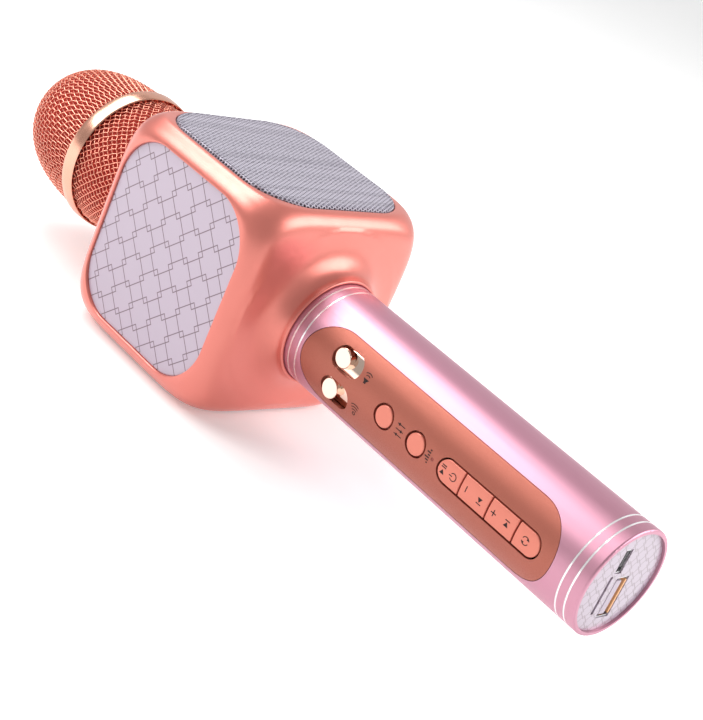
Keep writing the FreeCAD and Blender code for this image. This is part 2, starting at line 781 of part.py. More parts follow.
def build_status_led():
    top = panel_skin_radius - 0.1
    chip = box("led_chip", (led_place - 0.8, board_top, -0.8), (led_place + 0.8, board_top + 0.8, 0.8))
    pipe = rod("led_pipe", "y", (led_place, board_top, 0.0), top - board_top, led_radius)
    place_part(fuse("status_led", chip, pipe), "status_led")


# ---------------------------------------------------------------- cube housing
def speaker_screw_places():
    return [(speaker_screw_offset * side, speaker_screw_offset * end)
            for side in (-1, 1) for end in (-1, 1)]


def build_housing():
    bulged = feature("housing_bulged", bulged_cube(cube_half, cube_reach, cube_centre))
    flats = box("housing_flats", (cube_centre - cube_end_flat, -cube_flat, -cube_flat),
                (cube_centre + cube_end_flat, cube_flat, cube_flat))
    block = common("housing_block", bulged, flats)
    bell = feature("housing_bell", bell_shape())
    blank = fuse("housing_blank", block, bell)
    cavity = common("housing_cavity",
                    feature("cavity_bulged", bulged_cube(cavity_half, cavity_reach, cube_centre)),
                    box("cavity_limits", (cube_centre - 40.0, -light_ledge, -speaker_ledge),
                        (cube_centre + 40.0, light_ledge, speaker_ledge)))
    tools = [cavity]
    opening_half = face_half + face_margin
    opening_corner = face_corner + face_margin
    for facing in ("front", "rear"):
        tools.append(on_face(slab(facing + "_recess", opening_half, opening_corner,
                                  light_panel_floor, cube_half + 2.0), facing))
        tools.append(on_face(slab(facing + "_aperture", light_aperture_half,
                                  light_aperture_corner, light_ledge - 2.0,
                                  light_panel_floor + 1.0), facing))
    for facing in ("upper", "lower"):
        tools.append(on_face(slab(facing + "_recess", opening_half, opening_corner,
                                  speaker_floor, cube_half + 2.0), facing))
        holes = [rod("%s_aperture" % facing, "z", (0, 0, speaker_ledge - 2.0), 5.0,
                     speaker_aperture)]
        holes += [rod("%s_pilot_%d" % (facing, index), "z", (along, across, speaker_ledge - 3.0),
                      6.0, speaker_screw_shank + fit_gap)
                  for index, (along, across) in enumerate(speaker_screw_places())]
        tools.append(on_face(fuse(facing + "_holes", *holes), facing))
    tools.append(rod("collar_bore", "x", (collar_lip - 5.0, 0, 0), 25.0, handle_radius + fit_gap))
    tools.append(rod("neck_bore_cut", "x", (neck_start - 5.0, 0, 0), 25.0, neck_bore))
    place_part(cut("speaker_housing", blank, *tools), "speaker_housing")


def bell_shape():
    """The collar that flares from a rolled lip round the handle into the cube's end face."""
    lip = float(collar_lip)
    bore = float(handle_radius) - 2.0
    radius = float(collar_radius)
    start = float(bell_start)
    foot = start + float(bell_depth)
    rise = float(bell_radius) - radius
    inside = float(cube_centre) - float(cavity_reach)
    centre = FreeCAD.Vector(start, float(bell_radius), 0)
    ellipse = Part.Ellipse(FreeCAD.Vector(start, float(bell_radius) - rise, 0),
                           FreeCAD.Vector(foot, float(bell_radius), 0), centre)
    flare = Part.ArcOfEllipse(ellipse, 0, math.pi / 2)
    ends = [flare.StartPoint, flare.EndPoint]
    narrow = min(ends, key=lambda point: point.y)
    wide = max(ends, key=lambda point: point.y)
    lip_round = Part.Arc(FreeCAD.Vector(lip, radius - 0.7, 0),
                         FreeCAD.Vector(lip + 0.2, radius - 0.15, 0), narrow)
    corners = [wide, FreeCAD.Vector(inside, wide.y, 0), FreeCAD.Vector(inside, bore, 0),
               FreeCAD.Vector(lip, bore, 0), FreeCAD.Vector(lip, radius - 0.7, 0)]
    sides = [Part.LineSegment(first, second) for first, second in zip(corners, corners[1:])]
    return revolved([flare, *sides, lip_round])


def build_light_panels():
    for facing in ("front", "rear"):
        label = facing + "_light_panel"
        face_part(slab(label, face_half, face_corner, light_panel_floor, face_plane, 0.5),
                  label, facing)
        build_led_board(facing)


def build_led_board(facing):
    name = facing + "_led_board"
    top = light_panel_floor - 0.6
    board = slab(name + "_board", light_aperture_half - 0.4, light_aperture_corner - 0.4,
                 light_ledge + 0.2, top)
    spacing = 12.0
    half_led = 1.75
    leds = [box("%s_led_%d_%d" % (name, row, column),
                (row * spacing - half_led, column * spacing - half_led, top),
                (row * spacing + half_led, column * spacing + half_led, top + 0.5))
            for row in (-1, 0, 1) for column in (-1, 0, 1)]
    face_part(fuse(name, board, *leds), name, facing)


def build_speaker(facing):
    """One speaker: grille, basket, cone, voice coil, magnet and its four screws."""
    grille = facing + "_speaker_grille"
    bottom = face_plane - grille_skirt
    pan = slab(grille + "_pan", face_half, face_corner, bottom, face_plane, 1.2)
    inside = slab(grille + "_inside", face_half - grille_sheet, face_corner - grille_sheet,
                  bottom - 1.0, face_plane - grille_sheet)
    face_part(cut(grille, pan, inside), grille, facing)

    basket = facing + "_speaker_basket"
    flange = slab(basket + "_flange", face_half - 0.35, face_corner - 0.35, speaker_floor,
                  speaker_floor + flange_thickness)
    rim = speaker_floor + flange_thickness
    shell = turned(basket + "_shell", [
        (speaker_floor, 26.2), (15.0, 16.0), (13.7, 16.0), (13.7, 8.6), (15.0, 8.6),
        (15.0, 14.8), (speaker_floor, 25.0), (rim, 25.0), (rim, 26.2)], "z")
    holes = [rod("%s_opening" % basket, "z", (0, 0, 25.0), 15.0, 25.0)]
    holes += [rod("%s_hole_%d" % (basket, index), "z", (along, across, 25.0), 15.0,
                  speaker_screw_shank + fit_gap)
              for index, (along, across) in enumerate(speaker_screw_places())]
    plate = cut(basket + "_plate", flange, *holes)
    face_part(fuse(basket, plate, shell), basket, facing)

    cone = facing + "_speaker_cone"
    face_part(turned(cone, [
        (31.0, 24.8), (32.0, 24.8), (32.7, 23.2), (32.0, 21.6), (31.0, 21.2), (23.0, 8.0),
        (25.2, 4.0), (26.0, 0.0), (25.4, 0.0), (24.6, 3.8), (22.0, 7.4), (22.0, 8.3),
        (30.4, 22.2)], "z"), cone, facing)

    coil = facing + "_voice_coil"
    face_part(turned(coil, [(13.8, 7.4), (21.9, 7.4), (21.9, 8.1), (13.8, 8.1)], "z"), coil, facing)

    magnet = facing + "_speaker_magnet"
    face_part(turned(magnet, [
        (4.5, 0.0), (4.5, 15.5), (13.6, 15.5), (13.6, 8.7), (9.0, 8.7), (9.0, 6.8), (15.4, 6.8),
        (15.4, 0.0)], "z"), magnet, facing)

    screws = facing + "_speaker_screws"
    group = []
    for index, (along, across) in enumerate(speaker_screw_places()):
        stem = rod("%s_stem_%d" % (screws, index), "z", (along, across, speaker_ledge), 3.5,
                   speaker_screw_shank)
        head = rod("%s_head_%d" % (screws, index), "z", (along, across, rim), 0.9,
                   speaker_screw_head)
        group.append(fuse("%s_%d" % (screws, index), stem, head))
    face_part(grouped(screws, group), screws, facing)


def build_lock_nut():
    """The nut inside the cube that holds the handle tube's threaded end."""
    start = lock_nut_place
    end = lock_nut_place + lock_nut_width
    inner = handle_radius + fit_gap
    place_part(turned("handle_lock_nut", [(start, inner), (start, lock_nut_radius),
                                          (end, lock_nut_radius), (end, inner)]),
               "handle_lock_nut")


# ---------------------------------------------------------------- ball end
def build_neck_ring():
    outer = neck_bore - fit_gap
    inner = outer - neck_wall
    flange = neck_bore + 1.2
    place_part(turned("neck_ring", [
        (neck_start, inner), (neck_start, outer), (neck_flange_place, outer),
        (neck_flange_place, flange), (neck_flange_end, flange), (neck_flange_end, inner)]),
        "neck_ring")


def build_bowl():
    start = float(neck_flange_end)
    end = float(mesh_joint)
    centre = float(bowl_centre)
    wall = float(mesh_wall)
    depth = float(bowl_depth)
    radius = float(mesh_radius)
    outer = bowl_arc(centre, depth, radius, start, end)
    inner = bowl_arc(centre, depth - wall, radius - wall, start, end)
    ends = [[min(arc.StartPoint, arc.EndPoint, key=lambda point: point.x) for arc in (outer, inner)],
            [max(arc.StartPoint, arc.EndPoint, key=lambda point: point.x) for arc in (outer, inner)]]
    caps = [Part.LineSegment(first, second) for first, second in ends]
    face = Part.Face(Part.Wire(Part.__sortEdges__([curve.toShape() for curve in
                                                   (outer, inner, *caps)])))
    shape = face.revolve(FreeCAD.Vector(), FreeCAD.Vector(1, 0, 0), 2 * HALF_TURN)
    place_part(feature("lower_grille_bowl", shape), "lower_grille_bowl")


def build_band():
    low = mesh_joint
    high = mesh_joint + band_web
    seat = mesh_radius + fit_gap
    place_part(turned("grille_band", [
        (band_start, seat), (band_start, band_low_radius - 0.2),
        (band_start + 0.25, band_low_radius + 0.05), (band_end - 0.3, band_high_radius),
        (band_end, band_high_radius - 0.3), (band_end, seat), (high, seat),
        (high, band_web_radius), (low, band_web_radius), (low, seat)]), "grille_band")


def build_dome():
    rim = float(mesh_joint + band_web)
    shape = dome_shell(rim, float(band_end), float(dome_depth), float(mesh_radius), float(mesh_wall))
    place_part(feature("upper_grille_dome", shape), "upper_grille_dome")


def build_foam():
    rim = float(mesh_joint + band_web) + 0.2
    inset = float(mesh_wall) + float(foam_gap)
    shape = dome_shell(rim, float(band_end), float(dome_depth) - inset,
                       float(mesh_radius) - inset, float(foam_wall))
    place_part(feature("windscreen_foam", shape), "windscreen_foam")


def build_capsule():
    place_part(turned("microphone_capsule", [
        (capsule_start, 0.0), (capsule_start, capsule_radius),
        (capsule_start + capsule_length - 1.0, capsule_radius),
        (capsule_start + capsule_length, capsule_radius - 1.0),
        (capsule_start + capsule_length, 0.0)]), "microphone_capsule")
    floor = capsule_start - 2.0
    bore = capsule_radius + fit_gap
    outer = bore + holder_wall
    foot = neck_bore - fit_gap - neck_wall - fit_gap
    place_part(turned("capsule_holder", [
        (neck_start + 1.0, holder_stem - 1.5), (neck_start + 1.0, foot), (neck_start + 4.0, foot),
        (neck_start + 4.0, holder_stem), (floor, holder_stem), (floor, outer),
        (capsule_start + 10.0, outer), (capsule_start + 10.0, bore), (capsule_start - 0.1, bore),
        (capsule_start - 0.1, holder_stem - 1.5)]), "capsule_holder")


def build_all():
    build_handle_tube()
    build_accent_rings()
    build_control_panel()
    build_round_button("tone_button", tone_place)
    build_round_button("accompaniment_button", accompaniment_place)
    half_gap = key_gap / 2
    build_bar_key("mode_button", bar_start + key_gap, key_split_low - half_gap, round_low=True)
    build_bar_key("next_button", key_split_low + half_gap, key_split_middle - half_gap)
    build_bar_key("previous_button", key_split_middle + half_gap, key_split_high - half_gap)
    build_bar_key("power_button", key_split_high + half_gap, bar_end - key_gap, round_high=True)
    build_slider("volume_slider", 1)
    build_slider("echo_slider", -1)
    build_boards()
    build_board_screws()
    build_switches()
    build_slide_pots()
    build_battery()
    build_chassis()
    build_base_plate()
    build_socket("usb_a_socket", (usb_y, usb_z), (usb_half_width, usb_half_height),
                 0.35, 2.0, socket_start + 1.2)
    build_socket("micro_usb_socket", (micro_y, micro_z), (micro_half_width, micro_half_height),
                 -0.3, 0.3, socket_start + 1.0)
    build_card_socket()
    build_status_led()
    build_housing()
    build_light_panels()
    for facing in ("upper", "lower"):
        build_speaker(facing)
    build_lock_nut()
    build_neck_ring()
    build_bowl()
    build_band()
    build_dome()
    build_foam()
    build_capsule()


def check_and_write():
    doc.recompute()
    for item in doc.Objects:
        if "Invalid" in item.State or "Error" in item.State:
            raise RuntimeError("%s did not recompute: %s" % (item.Name, item.State))
    os.makedirs("parts", exist_ok=True)
    for item in subparts:
        if item.Shape.isNull() or not item.Shape.isValid():
            raise RuntimeError("%s has no valid shape" % item.Label)
        item.Shape.exportStep("parts/%s.step" % item.Label)
        extent = item.Shape.BoundBox
        print("%-26s %8.0f mm3  x %7.1f %7.1f  y %6.1f %6.1f  z %5.1f %5.1f" % (
            item.Label, item.Shape.Volume, extent.XMin, extent.XMax, extent.YMin, extent.YMax,
            extent.ZMin, extent.ZMax))


build_all()
check_and_write()
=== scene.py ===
"""Looks of the karaoke microphone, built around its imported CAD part.

The handle runs along X, its base end at +X. The object lies on one speaker face, floor at z = 0.
Lengths in the helpers are millimetres along the object: s from the base end, arc round the handle.
"""

import json
import math

import bpy
import numpy as np
from mathutils import Euler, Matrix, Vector

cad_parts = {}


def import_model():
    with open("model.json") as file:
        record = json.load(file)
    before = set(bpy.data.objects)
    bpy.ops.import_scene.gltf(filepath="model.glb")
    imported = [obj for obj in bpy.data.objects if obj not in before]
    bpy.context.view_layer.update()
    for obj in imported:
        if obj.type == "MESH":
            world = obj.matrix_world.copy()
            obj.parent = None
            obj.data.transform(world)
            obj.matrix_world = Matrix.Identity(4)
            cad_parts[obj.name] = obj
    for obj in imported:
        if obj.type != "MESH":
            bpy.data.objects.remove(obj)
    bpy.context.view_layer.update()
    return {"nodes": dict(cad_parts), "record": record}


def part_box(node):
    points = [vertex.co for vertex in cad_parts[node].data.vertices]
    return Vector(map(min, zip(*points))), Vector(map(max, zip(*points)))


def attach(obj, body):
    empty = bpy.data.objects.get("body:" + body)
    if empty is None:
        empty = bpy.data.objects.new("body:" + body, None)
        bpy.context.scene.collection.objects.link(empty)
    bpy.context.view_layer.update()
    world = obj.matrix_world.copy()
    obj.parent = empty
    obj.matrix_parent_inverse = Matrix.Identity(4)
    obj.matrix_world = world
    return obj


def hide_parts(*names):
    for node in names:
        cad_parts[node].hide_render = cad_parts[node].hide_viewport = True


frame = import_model()

MM = 0.001
ROOT = "microphone"

# ---------------------------------------------------------------- frame of the object
tube_low, tube_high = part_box("handle_tube")
BASE_X = tube_high.x
AXIS_Z = (tube_low.z + tube_high.z) / 2


def world(s, y, z):
    """Points of the object: s from the base end, y towards the back, z above the handle's axis, in mm."""
    s, y, z = np.broadcast_arrays(s, y, z)
    return np.stack([BASE_X - s * MM, y * MM, AXIS_Z + z * MM], axis=-1)


def along(x):
    """s in mm of a place on X in metres."""
    return (BASE_X - x) / MM


def span(node):
    """First and last s of a CAD node."""
    low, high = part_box(node)
    return along(high.x), along(low.x)


# ---------------------------------------------------------------- meshes
def piece(name, points, faces, material, stands_for=(), body=ROOT, smooth=True, sharp=None):
    """A closed mesh from world points, riding on a body, in place of the named CAD nodes."""
    mesh = bpy.data.meshes.new(name)
    mesh.from_pydata([tuple(p) for p in points], [], [tuple(f) for f in faces])
    mesh.validate()
    mesh.update()
    obj = bpy.data.objects.new(name, mesh)
    bpy.context.collection.objects.link(obj)
    mesh.materials.append(material)
    if smooth:
        mesh.polygons.foreach_set("use_smooth", [True] * len(mesh.polygons))
    if sharp is not None:
        mesh.set_sharp_from_angle(angle=math.radians(sharp))
    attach(obj, body)
    if stands_for:
        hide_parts(*stands_for)
    return obj


def merged(points, faces, step=0.002):
    """Points nearer than step (mm) made one, and faces that lose their area dropped."""
    points = np.asarray(points, float)
    keys = np.round(points / (step * MM)).astype(np.int64)
    _, first, index = np.unique(keys, axis=0, return_index=True, return_inverse=True)
    index = index.reshape(-1)
    kept = []
    for f in faces:
        g = []
        for i in f:
            j = int(index[i])
            if not g or g[-1] != j:
                g.append(j)
        if len(g) > 1 and g[0] == g[-1]:
            g.pop()
        if len(g) > 2 and len(set(g)) == len(g):
            kept.append(g)
    return points[first], kept


def grid_faces(rows, columns, start=0, closed=False):
    """Quads of a rows x columns grid of points; closed joins the last column to the first."""
    faces = []
    for i in range(rows - 1):
        for j in range(columns if closed else columns - 1):
            k = (j + 1) % columns
            faces.append(
                (
                    start + i * columns + j,
                    start + i * columns + k,
                    start + (i + 1) * columns + k,
                    start + (i + 1) * columns + j,
                )
            )
    return faces


def lathe(name, profile, material, stands_for, turns=160, sharp=35):
    """A closed profile of (s, radius) turned about the handle's axis."""
    angle = np.linspace(0, 2 * math.pi, turns, endpoint=False)
    profile = np.asarray(profile, float)
    pts = world(
        profile[:, 0][:, None],
        profile[:, 1][:, None] * np.cos(angle)[None],
        profile[:, 1][:, None] * np.sin(angle)[None],
    ).reshape(-1, 3)
    rows = len(profile)
    faces = []
    for i in range(rows):
        n = (i + 1) % rows
        for j in range(turns):
            k = (j + 1) % turns
            faces.append((i * turns + j, n * turns + j, n * turns + k, i * turns + k))
    return piece(name, pts, faces, material, stands_for, sharp=sharp)


# ---------------------------------------------------------------- materials
def shader(name, colour, metallic=0.0, roughness=0.4, coat=0.0, coat_roughness=0.1):
    m = bpy.data.materials.new(name)
    m.use_nodes = True
    b = m.node_tree.nodes["Principled BSDF"]
    b.inputs["Base Color"].default_value = (*colour, 1)
    b.inputs["Metallic"].default_value = metallic
    b.inputs["Roughness"].default_value = roughness
    b.inputs["Coat Weight"].default_value = coat
    b.inputs["Coat Roughness"].default_value = coat_roughness
    return m


def node(m, kind, **values):
    n = m.node_tree.nodes.new(kind)
    for key, value in values.items():
        setattr(n, key, value)
    return n


def link(m, a, b):
    m.node_tree.links.new(a, b)


def bsdf(m):
    return m.node_tree.nodes["Principled BSDF"]


def place_of(m):
    return node(m, "ShaderNodeTexCoord").outputs["Object"]


def noise_of(m, scale, detail, stretch=None):
    """A noise in the object's own place; stretch makes it run along an axis."""
    coord = place_of(m)
    if stretch:
        mapping = node(m, "ShaderNodeMapping")
        mapping.inputs["Scale"].default_value = stretch
        link(m, coord, mapping.inputs["Vector"])
        coord = mapping.outputs["Vector"]
    noise = node(m, "ShaderNodeTexNoise")
    noise.inputs["Scale"].default_value = scale
    noise.inputs["Detail"].default_value = detail
    link(m, coord, noise.inputs["Vector"])
    return noise.outputs["Fac"]


def ranged(m, value, from_low, from_high, to_low, to_high):
    """A value moved from one range to another."""
    spread = node(m, "ShaderNodeMapRange")
    for key, number in (
        ("From Min", from_low),
        ("From Max", from_high),
        ("To Min", to_low),
        ("To Max", to_high),
    ):
        spread.inputs[key].default_value = number
    link(m, value, spread.inputs["Value"])
    return spread.outputs["Result"]


def grain(m, scale, low, high, detail=3.0, stretch=None):
    """A noise that moves the roughness between low and high."""
    noise = noise_of(m, scale, detail, stretch)
    link(m, ranged(m, noise, 0.3, 0.7, low, high), bsdf(m).inputs["Roughness"])


def bumps(m, scale, strength, distance):
    """Fine relief from a noise."""
    bump = node(m, "ShaderNodeBump")
    bump.inputs["Strength"].default_value = strength
    bump.inputs["Distance"].default_value = distance
    link(m, noise_of(m, scale, 2.0), bump.inputs["Height"])
    link(m, bump.outputs["Normal"], bsdf(m).inputs["Normal"])


def math_node(m, operation, a, b=None):
    n = node(m, "ShaderNodeMath", operation=operation)
    for i, v in enumerate((a, b)):
        if v is None:
            continue
        if isinstance(v, (int, float)):
            n.inputs[i].default_value = v
        else:
            link(m, v, n.inputs[i])
    return n.outputs[0]


LATTICE_PITCH = 0.0098
LATTICE_REACH = 0.0061
LATTICE_LINE = 0.00021


def lattice(m, first, second, centre, plate, line, scale=1.0):
    """Outlines of diamonds on a square grid, printed under the gloss.

    first and second are the two axes of the printed plane.
    """
    pitch, reach, width = LATTICE_PITCH * scale, LATTICE_REACH * scale, LATTICE_LINE
    split = node(m, "ShaderNodeSeparateXYZ")
    link(m, place_of(m), split.inputs[0])
    a = math_node(m, "SUBTRACT", split.outputs[first], centre[0])
    b = math_node(m, "SUBTRACT", split.outputs[second], centre[1])

    def cell(value):
        shifted = math_node(m, "ADD", math_node(m, "DIVIDE", value, pitch), 0.5)
        fraction = math_node(m, "SUBTRACT", shifted, math_node(m, "FLOOR", shifted))
        return math_node(m, "MULTIPLY", math_node(m, "SUBTRACT", fraction, 0.5), pitch)

    # the diamond of a cell and those of its four neighbours reach into the cell
    absolute_a = math_node(m, "ABSOLUTE", cell(a))
    absolute_b = math_node(m, "ABSOLUTE", cell(b))
    away_a = math_node(m, "SUBTRACT", pitch, absolute_a)
    away_b = math_node(m, "SUBTRACT", pitch, absolute_b)

    def outline(across, up):
        """Distance from one diamond's outline, measured along an axis."""
        beyond = math_node(m, "SUBTRACT", math_node(m, "ADD", across, up), reach)
        return math_node(m, "ABSOLUTE", beyond)

    own = outline(absolute_a, absolute_b)
    side_a = outline(away_a, absolute_b)
    side_b = outline(absolute_a, away_b)
    nearest = math_node(m, "MINIMUM", own, math_node(m, "MINIMUM", side_a, side_b))
    inked = ranged(m, nearest, width * 0.75, width * 1.45, 1.0, 0.0)
    mix = node(m, "ShaderNodeMix", data_type="RGBA")
    mix.inputs["A"].default_value = (*plate, 1)
    mix.inputs["B"].default_value = (*line, 1)
    link(m, inked, mix.inputs["Factor"])
    link(m, mix.outputs["Result"], bsdf(m).inputs["Base Color"])


ROSE = shader("rose_gold_lacquer", (0.75, 0.215, 0.17), 0.65, 0.36, 0.5, 0.27)
grain(ROSE, 260.0, 0.33, 0.39)
bumps(ROSE, 5200.0, 0.05, 0.0001)

ANODISED = shader("pink_anodised", (0.60, 0.295, 0.385), 0.85, 0.40)
grain(ANODISED, 900.0, 0.38, 0.44, stretch=(0.02, 1.0, 1.0))
bumps(ANODISED, 6000.0, 0.04, 0.0001)

BRIGHT_RING = shader("bright_accent", (0.95, 0.92, 0.93), 0.6, 0.2)
PANEL = shader("panel_metallic", (0.43, 0.13, 0.09), 0.6, 0.42)
bumps(PANEL, 7000.0, 0.25, 0.0002)
grain(PANEL, 3500.0, 0.32, 0.55, detail=1.0)
BUTTON = shader("button_satin", (0.74, 0.22, 0.155), 0.35, 0.38, 0.1, 0.3)
bumps(BUTTON, 6500.0, 0.06, 0.0001)
CHROME = shader("slider_mirror", (0.95, 0.72, 0.60), 1.0, 0.07)
PRINT = shader("panel_print", (0.022, 0.009, 0.008), 0.0, 0.8)

PANEL_GLOSS = shader("lattice_front", (0.72, 0.66, 0.76), 0.0, 0.28, 0.6, 0.06)
low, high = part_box("front_light_panel")
lattice(PANEL_GLOSS, 0, 2, ((low.x + high.x) / 2, AXIS_Z), (0.50, 0.41, 0.50), (0.17, 0.105, 0.135))
BASE_GLOSS = shader("lattice_base", (0.72, 0.66, 0.76), 0.0, 0.28, 0.6, 0.06)
lattice(BASE_GLOSS, 1, 2, (0.0, AXIS_Z), (0.47, 0.39, 0.47), (0.30, 0.23, 0.275), 0.42)

GRILLE = shader("grille_satin", (0.45, 0.42, 0.49), 0.2, 0.5)
MESH = shader("mesh_copper", (0.90, 0.36, 0.26), 0.85, 0.24)
BAND = shader("band_polished", (0.86, 0.44, 0.32), 1.0, 0.24)
grain(BAND, 700.0, 0.21, 0.28, stretch=(1.0, 0.03, 0.03))
FOAM = shader("foam_dark_red", (0.42, 0.030, 0.018), 0.0, 0.95)
DARK = shader("black_moulding", (0.018, 0.016, 0.017), 0.0, 0.5)
BOARD = shader("solder_mask", (0.02, 0.09, 0.045), 0.0, 0.35)
STEEL = shader("plated_steel", (0.62, 0.61, 0.62), 1.0, 0.24)
PAPER = shader("cone_paper", (0.03, 0.03, 0.032), 0.0, 0.75)
COIL = shader("coil_wire", (0.70, 0.30, 0.12), 0.9, 0.35)
SLEEVE = shader("battery_sleeve", (0.03, 0.09, 0.32), 0.0, 0.28)
LENS = shader("led_lens", (0.30, 0.05, 0.035), 0.0, 0.15)

SLOT_SHADERS = {
    "rose_gold_housing": ROSE,
    "handle_anodised": ANODISED,
    "accent_rings": BRIGHT_RING,
    "panel_rose": PANEL,
    "button_rose": BUTTON,
    "slider_chrome": CHROME,
    "light_panel": PANEL_GLOSS,
    "base_plate": BASE_GLOSS,
    "speaker_grille": GRILLE,
    "mesh_copper": MESH,
    "band_polished": BAND,
    "foam": FOAM,
    "black_plastic": DARK,
    "circuit_board": BOARD,
    "steel": STEEL,
    "switch_plastic": DARK,
    "cone_paper": PAPER,
    "coil_copper": COIL,
    "battery_wrap": SLEEVE,
    "led_lens": LENS,
}
for part in frame["record"]["subparts"]:
    cad = frame["nodes"].get(part["node"] if "node" in part else part["name"])
    if cad is not None:
        cad.data.materials.clear()
        cad.data.materials.append(SLOT_SHADERS[part["material_slot"]])
frame["nodes"]["neck_ring"].data.materials[0] = BAND

# ---------------------------------------------------------------- speaker housing
CUBE_S = 166.3
FLAT = 36.2
END_FLAT = 35.7
PANEL_FLAT = 36.1
SPEAKER_FLAT = 35.35
WALL = 1.6
OPENING_HALF = 30.4
OPENING_CORNER = 16.15
LIP_OUTER = 18.4
LIP_INNER = 17.35
LIP_S = 123.4
NECK_RADIUS = 20.2
BULGE = 38.2
BULGE_POWER = 5.55
BELL_RIM_S = 124.2
BELL_DEPTH = 7.0
BELL_RADIUS = 31.0
BELL_REACH = 12.6
BELL_FADE = 0.12
BELL_BLEND = 0.55
END_BLEND = 0.9
FLAT_BLEND = 0.35
EDGE_ROUND = 0.42
PANEL_RECESS = 1.3
SPEAKER_RECESS = 4.6
NECK_EDGE = 0.5
INNER_WALL = WALL * 1.25


def smooth_max(a, b, k):
    return np.maximum(a, b) + np.log1p(np.exp(-np.abs(a - b) / k)) * k


def smooth_min(a, b, k):
    return -smooth_max(-a, -b, k)


def cube_radius(d):
    """Distance from the cube's centre to its skin in each direction, mm. d[..., 0] is towards the handle."""
    power = (np.abs(d) ** BULGE_POWER).sum(-1) ** (1 / BULGE_POWER)
    r = BULGE / power
    for axis, flat, blend in (
        (0, END_FLAT, END_BLEND),
        (1, PANEL_FLAT, FLAT_BLEND),
        (2, SPEAKER_FLAT, FLAT_BLEND),
    ):
        r = smooth_min(r, flat / np.maximum(np.abs(d[..., axis]), 1e-6), blend)
    # the bell that grows out of the handle side and carries the collar
    cos_t = d[..., 0]
    sin_t = np.sqrt(np.maximum(1 - cos_t**2, 1e-12))
    phi = np.linspace(0.0, math.pi / 2, 200)
    bell_x = CUBE_S - (BELL_RIM_S + BELL_DEPTH * np.sin(phi))
    bell_r = BELL_RADIUS - BELL_REACH * np.cos(phi)
    bell_t = np.arctan2(bell_r, bell_x)
    bell_d = np.hypot(bell_r, bell_x)
    theta = np.arctan2(sin_t, cos_t)
    bell = np.interp(theta, bell_t, bell_d, left=bell_d[0], right=0.0)
    fade = np.clip((theta - bell_t[-1]) / BELL_FADE, 0, 1)
    bell = np.where(theta > bell_t[-1], bell_d[-1] * (1 - fade), bell)
    near = theta < bell_t[-1] + BELL_FADE
    return np.where(near, smooth_max(r, bell, BELL_BLEND), r)


def rounded_square(angle, half, corner):
    """Radius of a rounded square's outline at an angle."""
    c, s = np.abs(np.cos(angle)), np.abs(np.sin(angle))
    big, small = np.maximum(c, s), np.minimum(c, s)
    flat = half / big
    inner = half - corner
    # along the ray, the point on the corner's arc
    dot = inner * (c + s)
    root = np.sqrt(np.maximum(dot**2 - (2 * inner**2 - corner**2), 0))
    arc = dot + root
    return np.where(small * flat > inner, np.minimum(arc, flat * 1.5), flat)


def circle_outline(radius):
    return lambda angle: np.full_like(angle, radius)


def square_outline(angle):
    return rounded_square(angle, OPENING_HALF, OPENING_CORNER)


def grille_outline(angle):
    return rounded_square(angle, OPENING_HALF + EDGE_ROUND, OPENING_CORNER + 0.3)


SIDE = 44
RINGS = 30
RING_CROWDING = 1.35
INNER_RINGS = 7
HEIGHT_PASSES = 12


def face_sector(outline):
    """Points round a face's seams with its neighbours, and how far its opening reaches at the same angles."""
    t = np.tan(np.linspace(-math.pi / 4, math.pi / 4, SIDE, endpoint=False))
    one = np.ones_like(t)
    u = np.concatenate([t, one, -t, -one])
    v = np.concatenate([-one, t, one, -t])
    angle = np.arctan2(v, u)
    reach = outline(angle)
    return u, v, angle, reach


def face_frame(axis, sign):
    """A face's outward normal and its two axes."""
    n, a, b = np.zeros(3), np.zeros(3), np.zeros(3)
    n[axis] = sign
    a[(axis + 1) % 3] = 1.0
    b[(axis + 2) % 3] = 1.0
    return (n, a, b) if sign > 0 else (n, b, a)


def collar_lip(radial, n):
    """Thin rolled lip at the handle: over the front edge and down the bore."""
    x = CUBE_S - LIP_S
    mid = (LIP_OUTER + LIP_INNER) / 2
    half = (LIP_OUTER - LIP_INNER) / 2
    rings = []
    for q in np.linspace(0, math.pi, 9):
        rings.append(radial * (mid + half * np.cos(q)) + n * (x + half * 0.9 * np.sin(q)))
    for depth in (1.0, 4.0, 9.0):
        rings.append(radial * LIP_INNER + n * (x - depth))
    return rings


def neck_lip(radial, n, start):
    """Eased edge of the hole that the wire head comes out of."""
    x = abs(start @ n)
    rings = []
    for q in np.linspace(0, math.pi / 2, 5)[1:]:
        height = (x - NECK_EDGE * (1 - np.cos(q)))[:, None]
        rings.append(radial * (NECK_RADIUS - NECK_EDGE * np.sin(q)) + n * height)
    rings.append(radial * (NECK_RADIUS - NECK_EDGE) + n * (x - WALL)[:, None])
    return rings


def recess_lip(radial, n, start, depth):
    """Crisp eased edge of a panel's opening, then the wall of its recess."""
    rings = []
    for q in np.linspace(0, math.pi / 2, 6)[1:]:
        inward = radial * EDGE_ROUND * np.sin(q)
        rings.append(start - inward - n * EDGE_ROUND * (1 - np.cos(q)))
    last = rings[-1]
    for drop in (0.25, 0.6, 1.0):
        rings.append(last - n * depth * drop)
    return rings


def opening_of(axis, sign):
    """The outline of a face's opening."""
    if axis == 0:
        return circle_outline(LIP_OUTER if sign > 0 else NECK_RADIUS)
    return square_outline if axis == 1 else grille_outline


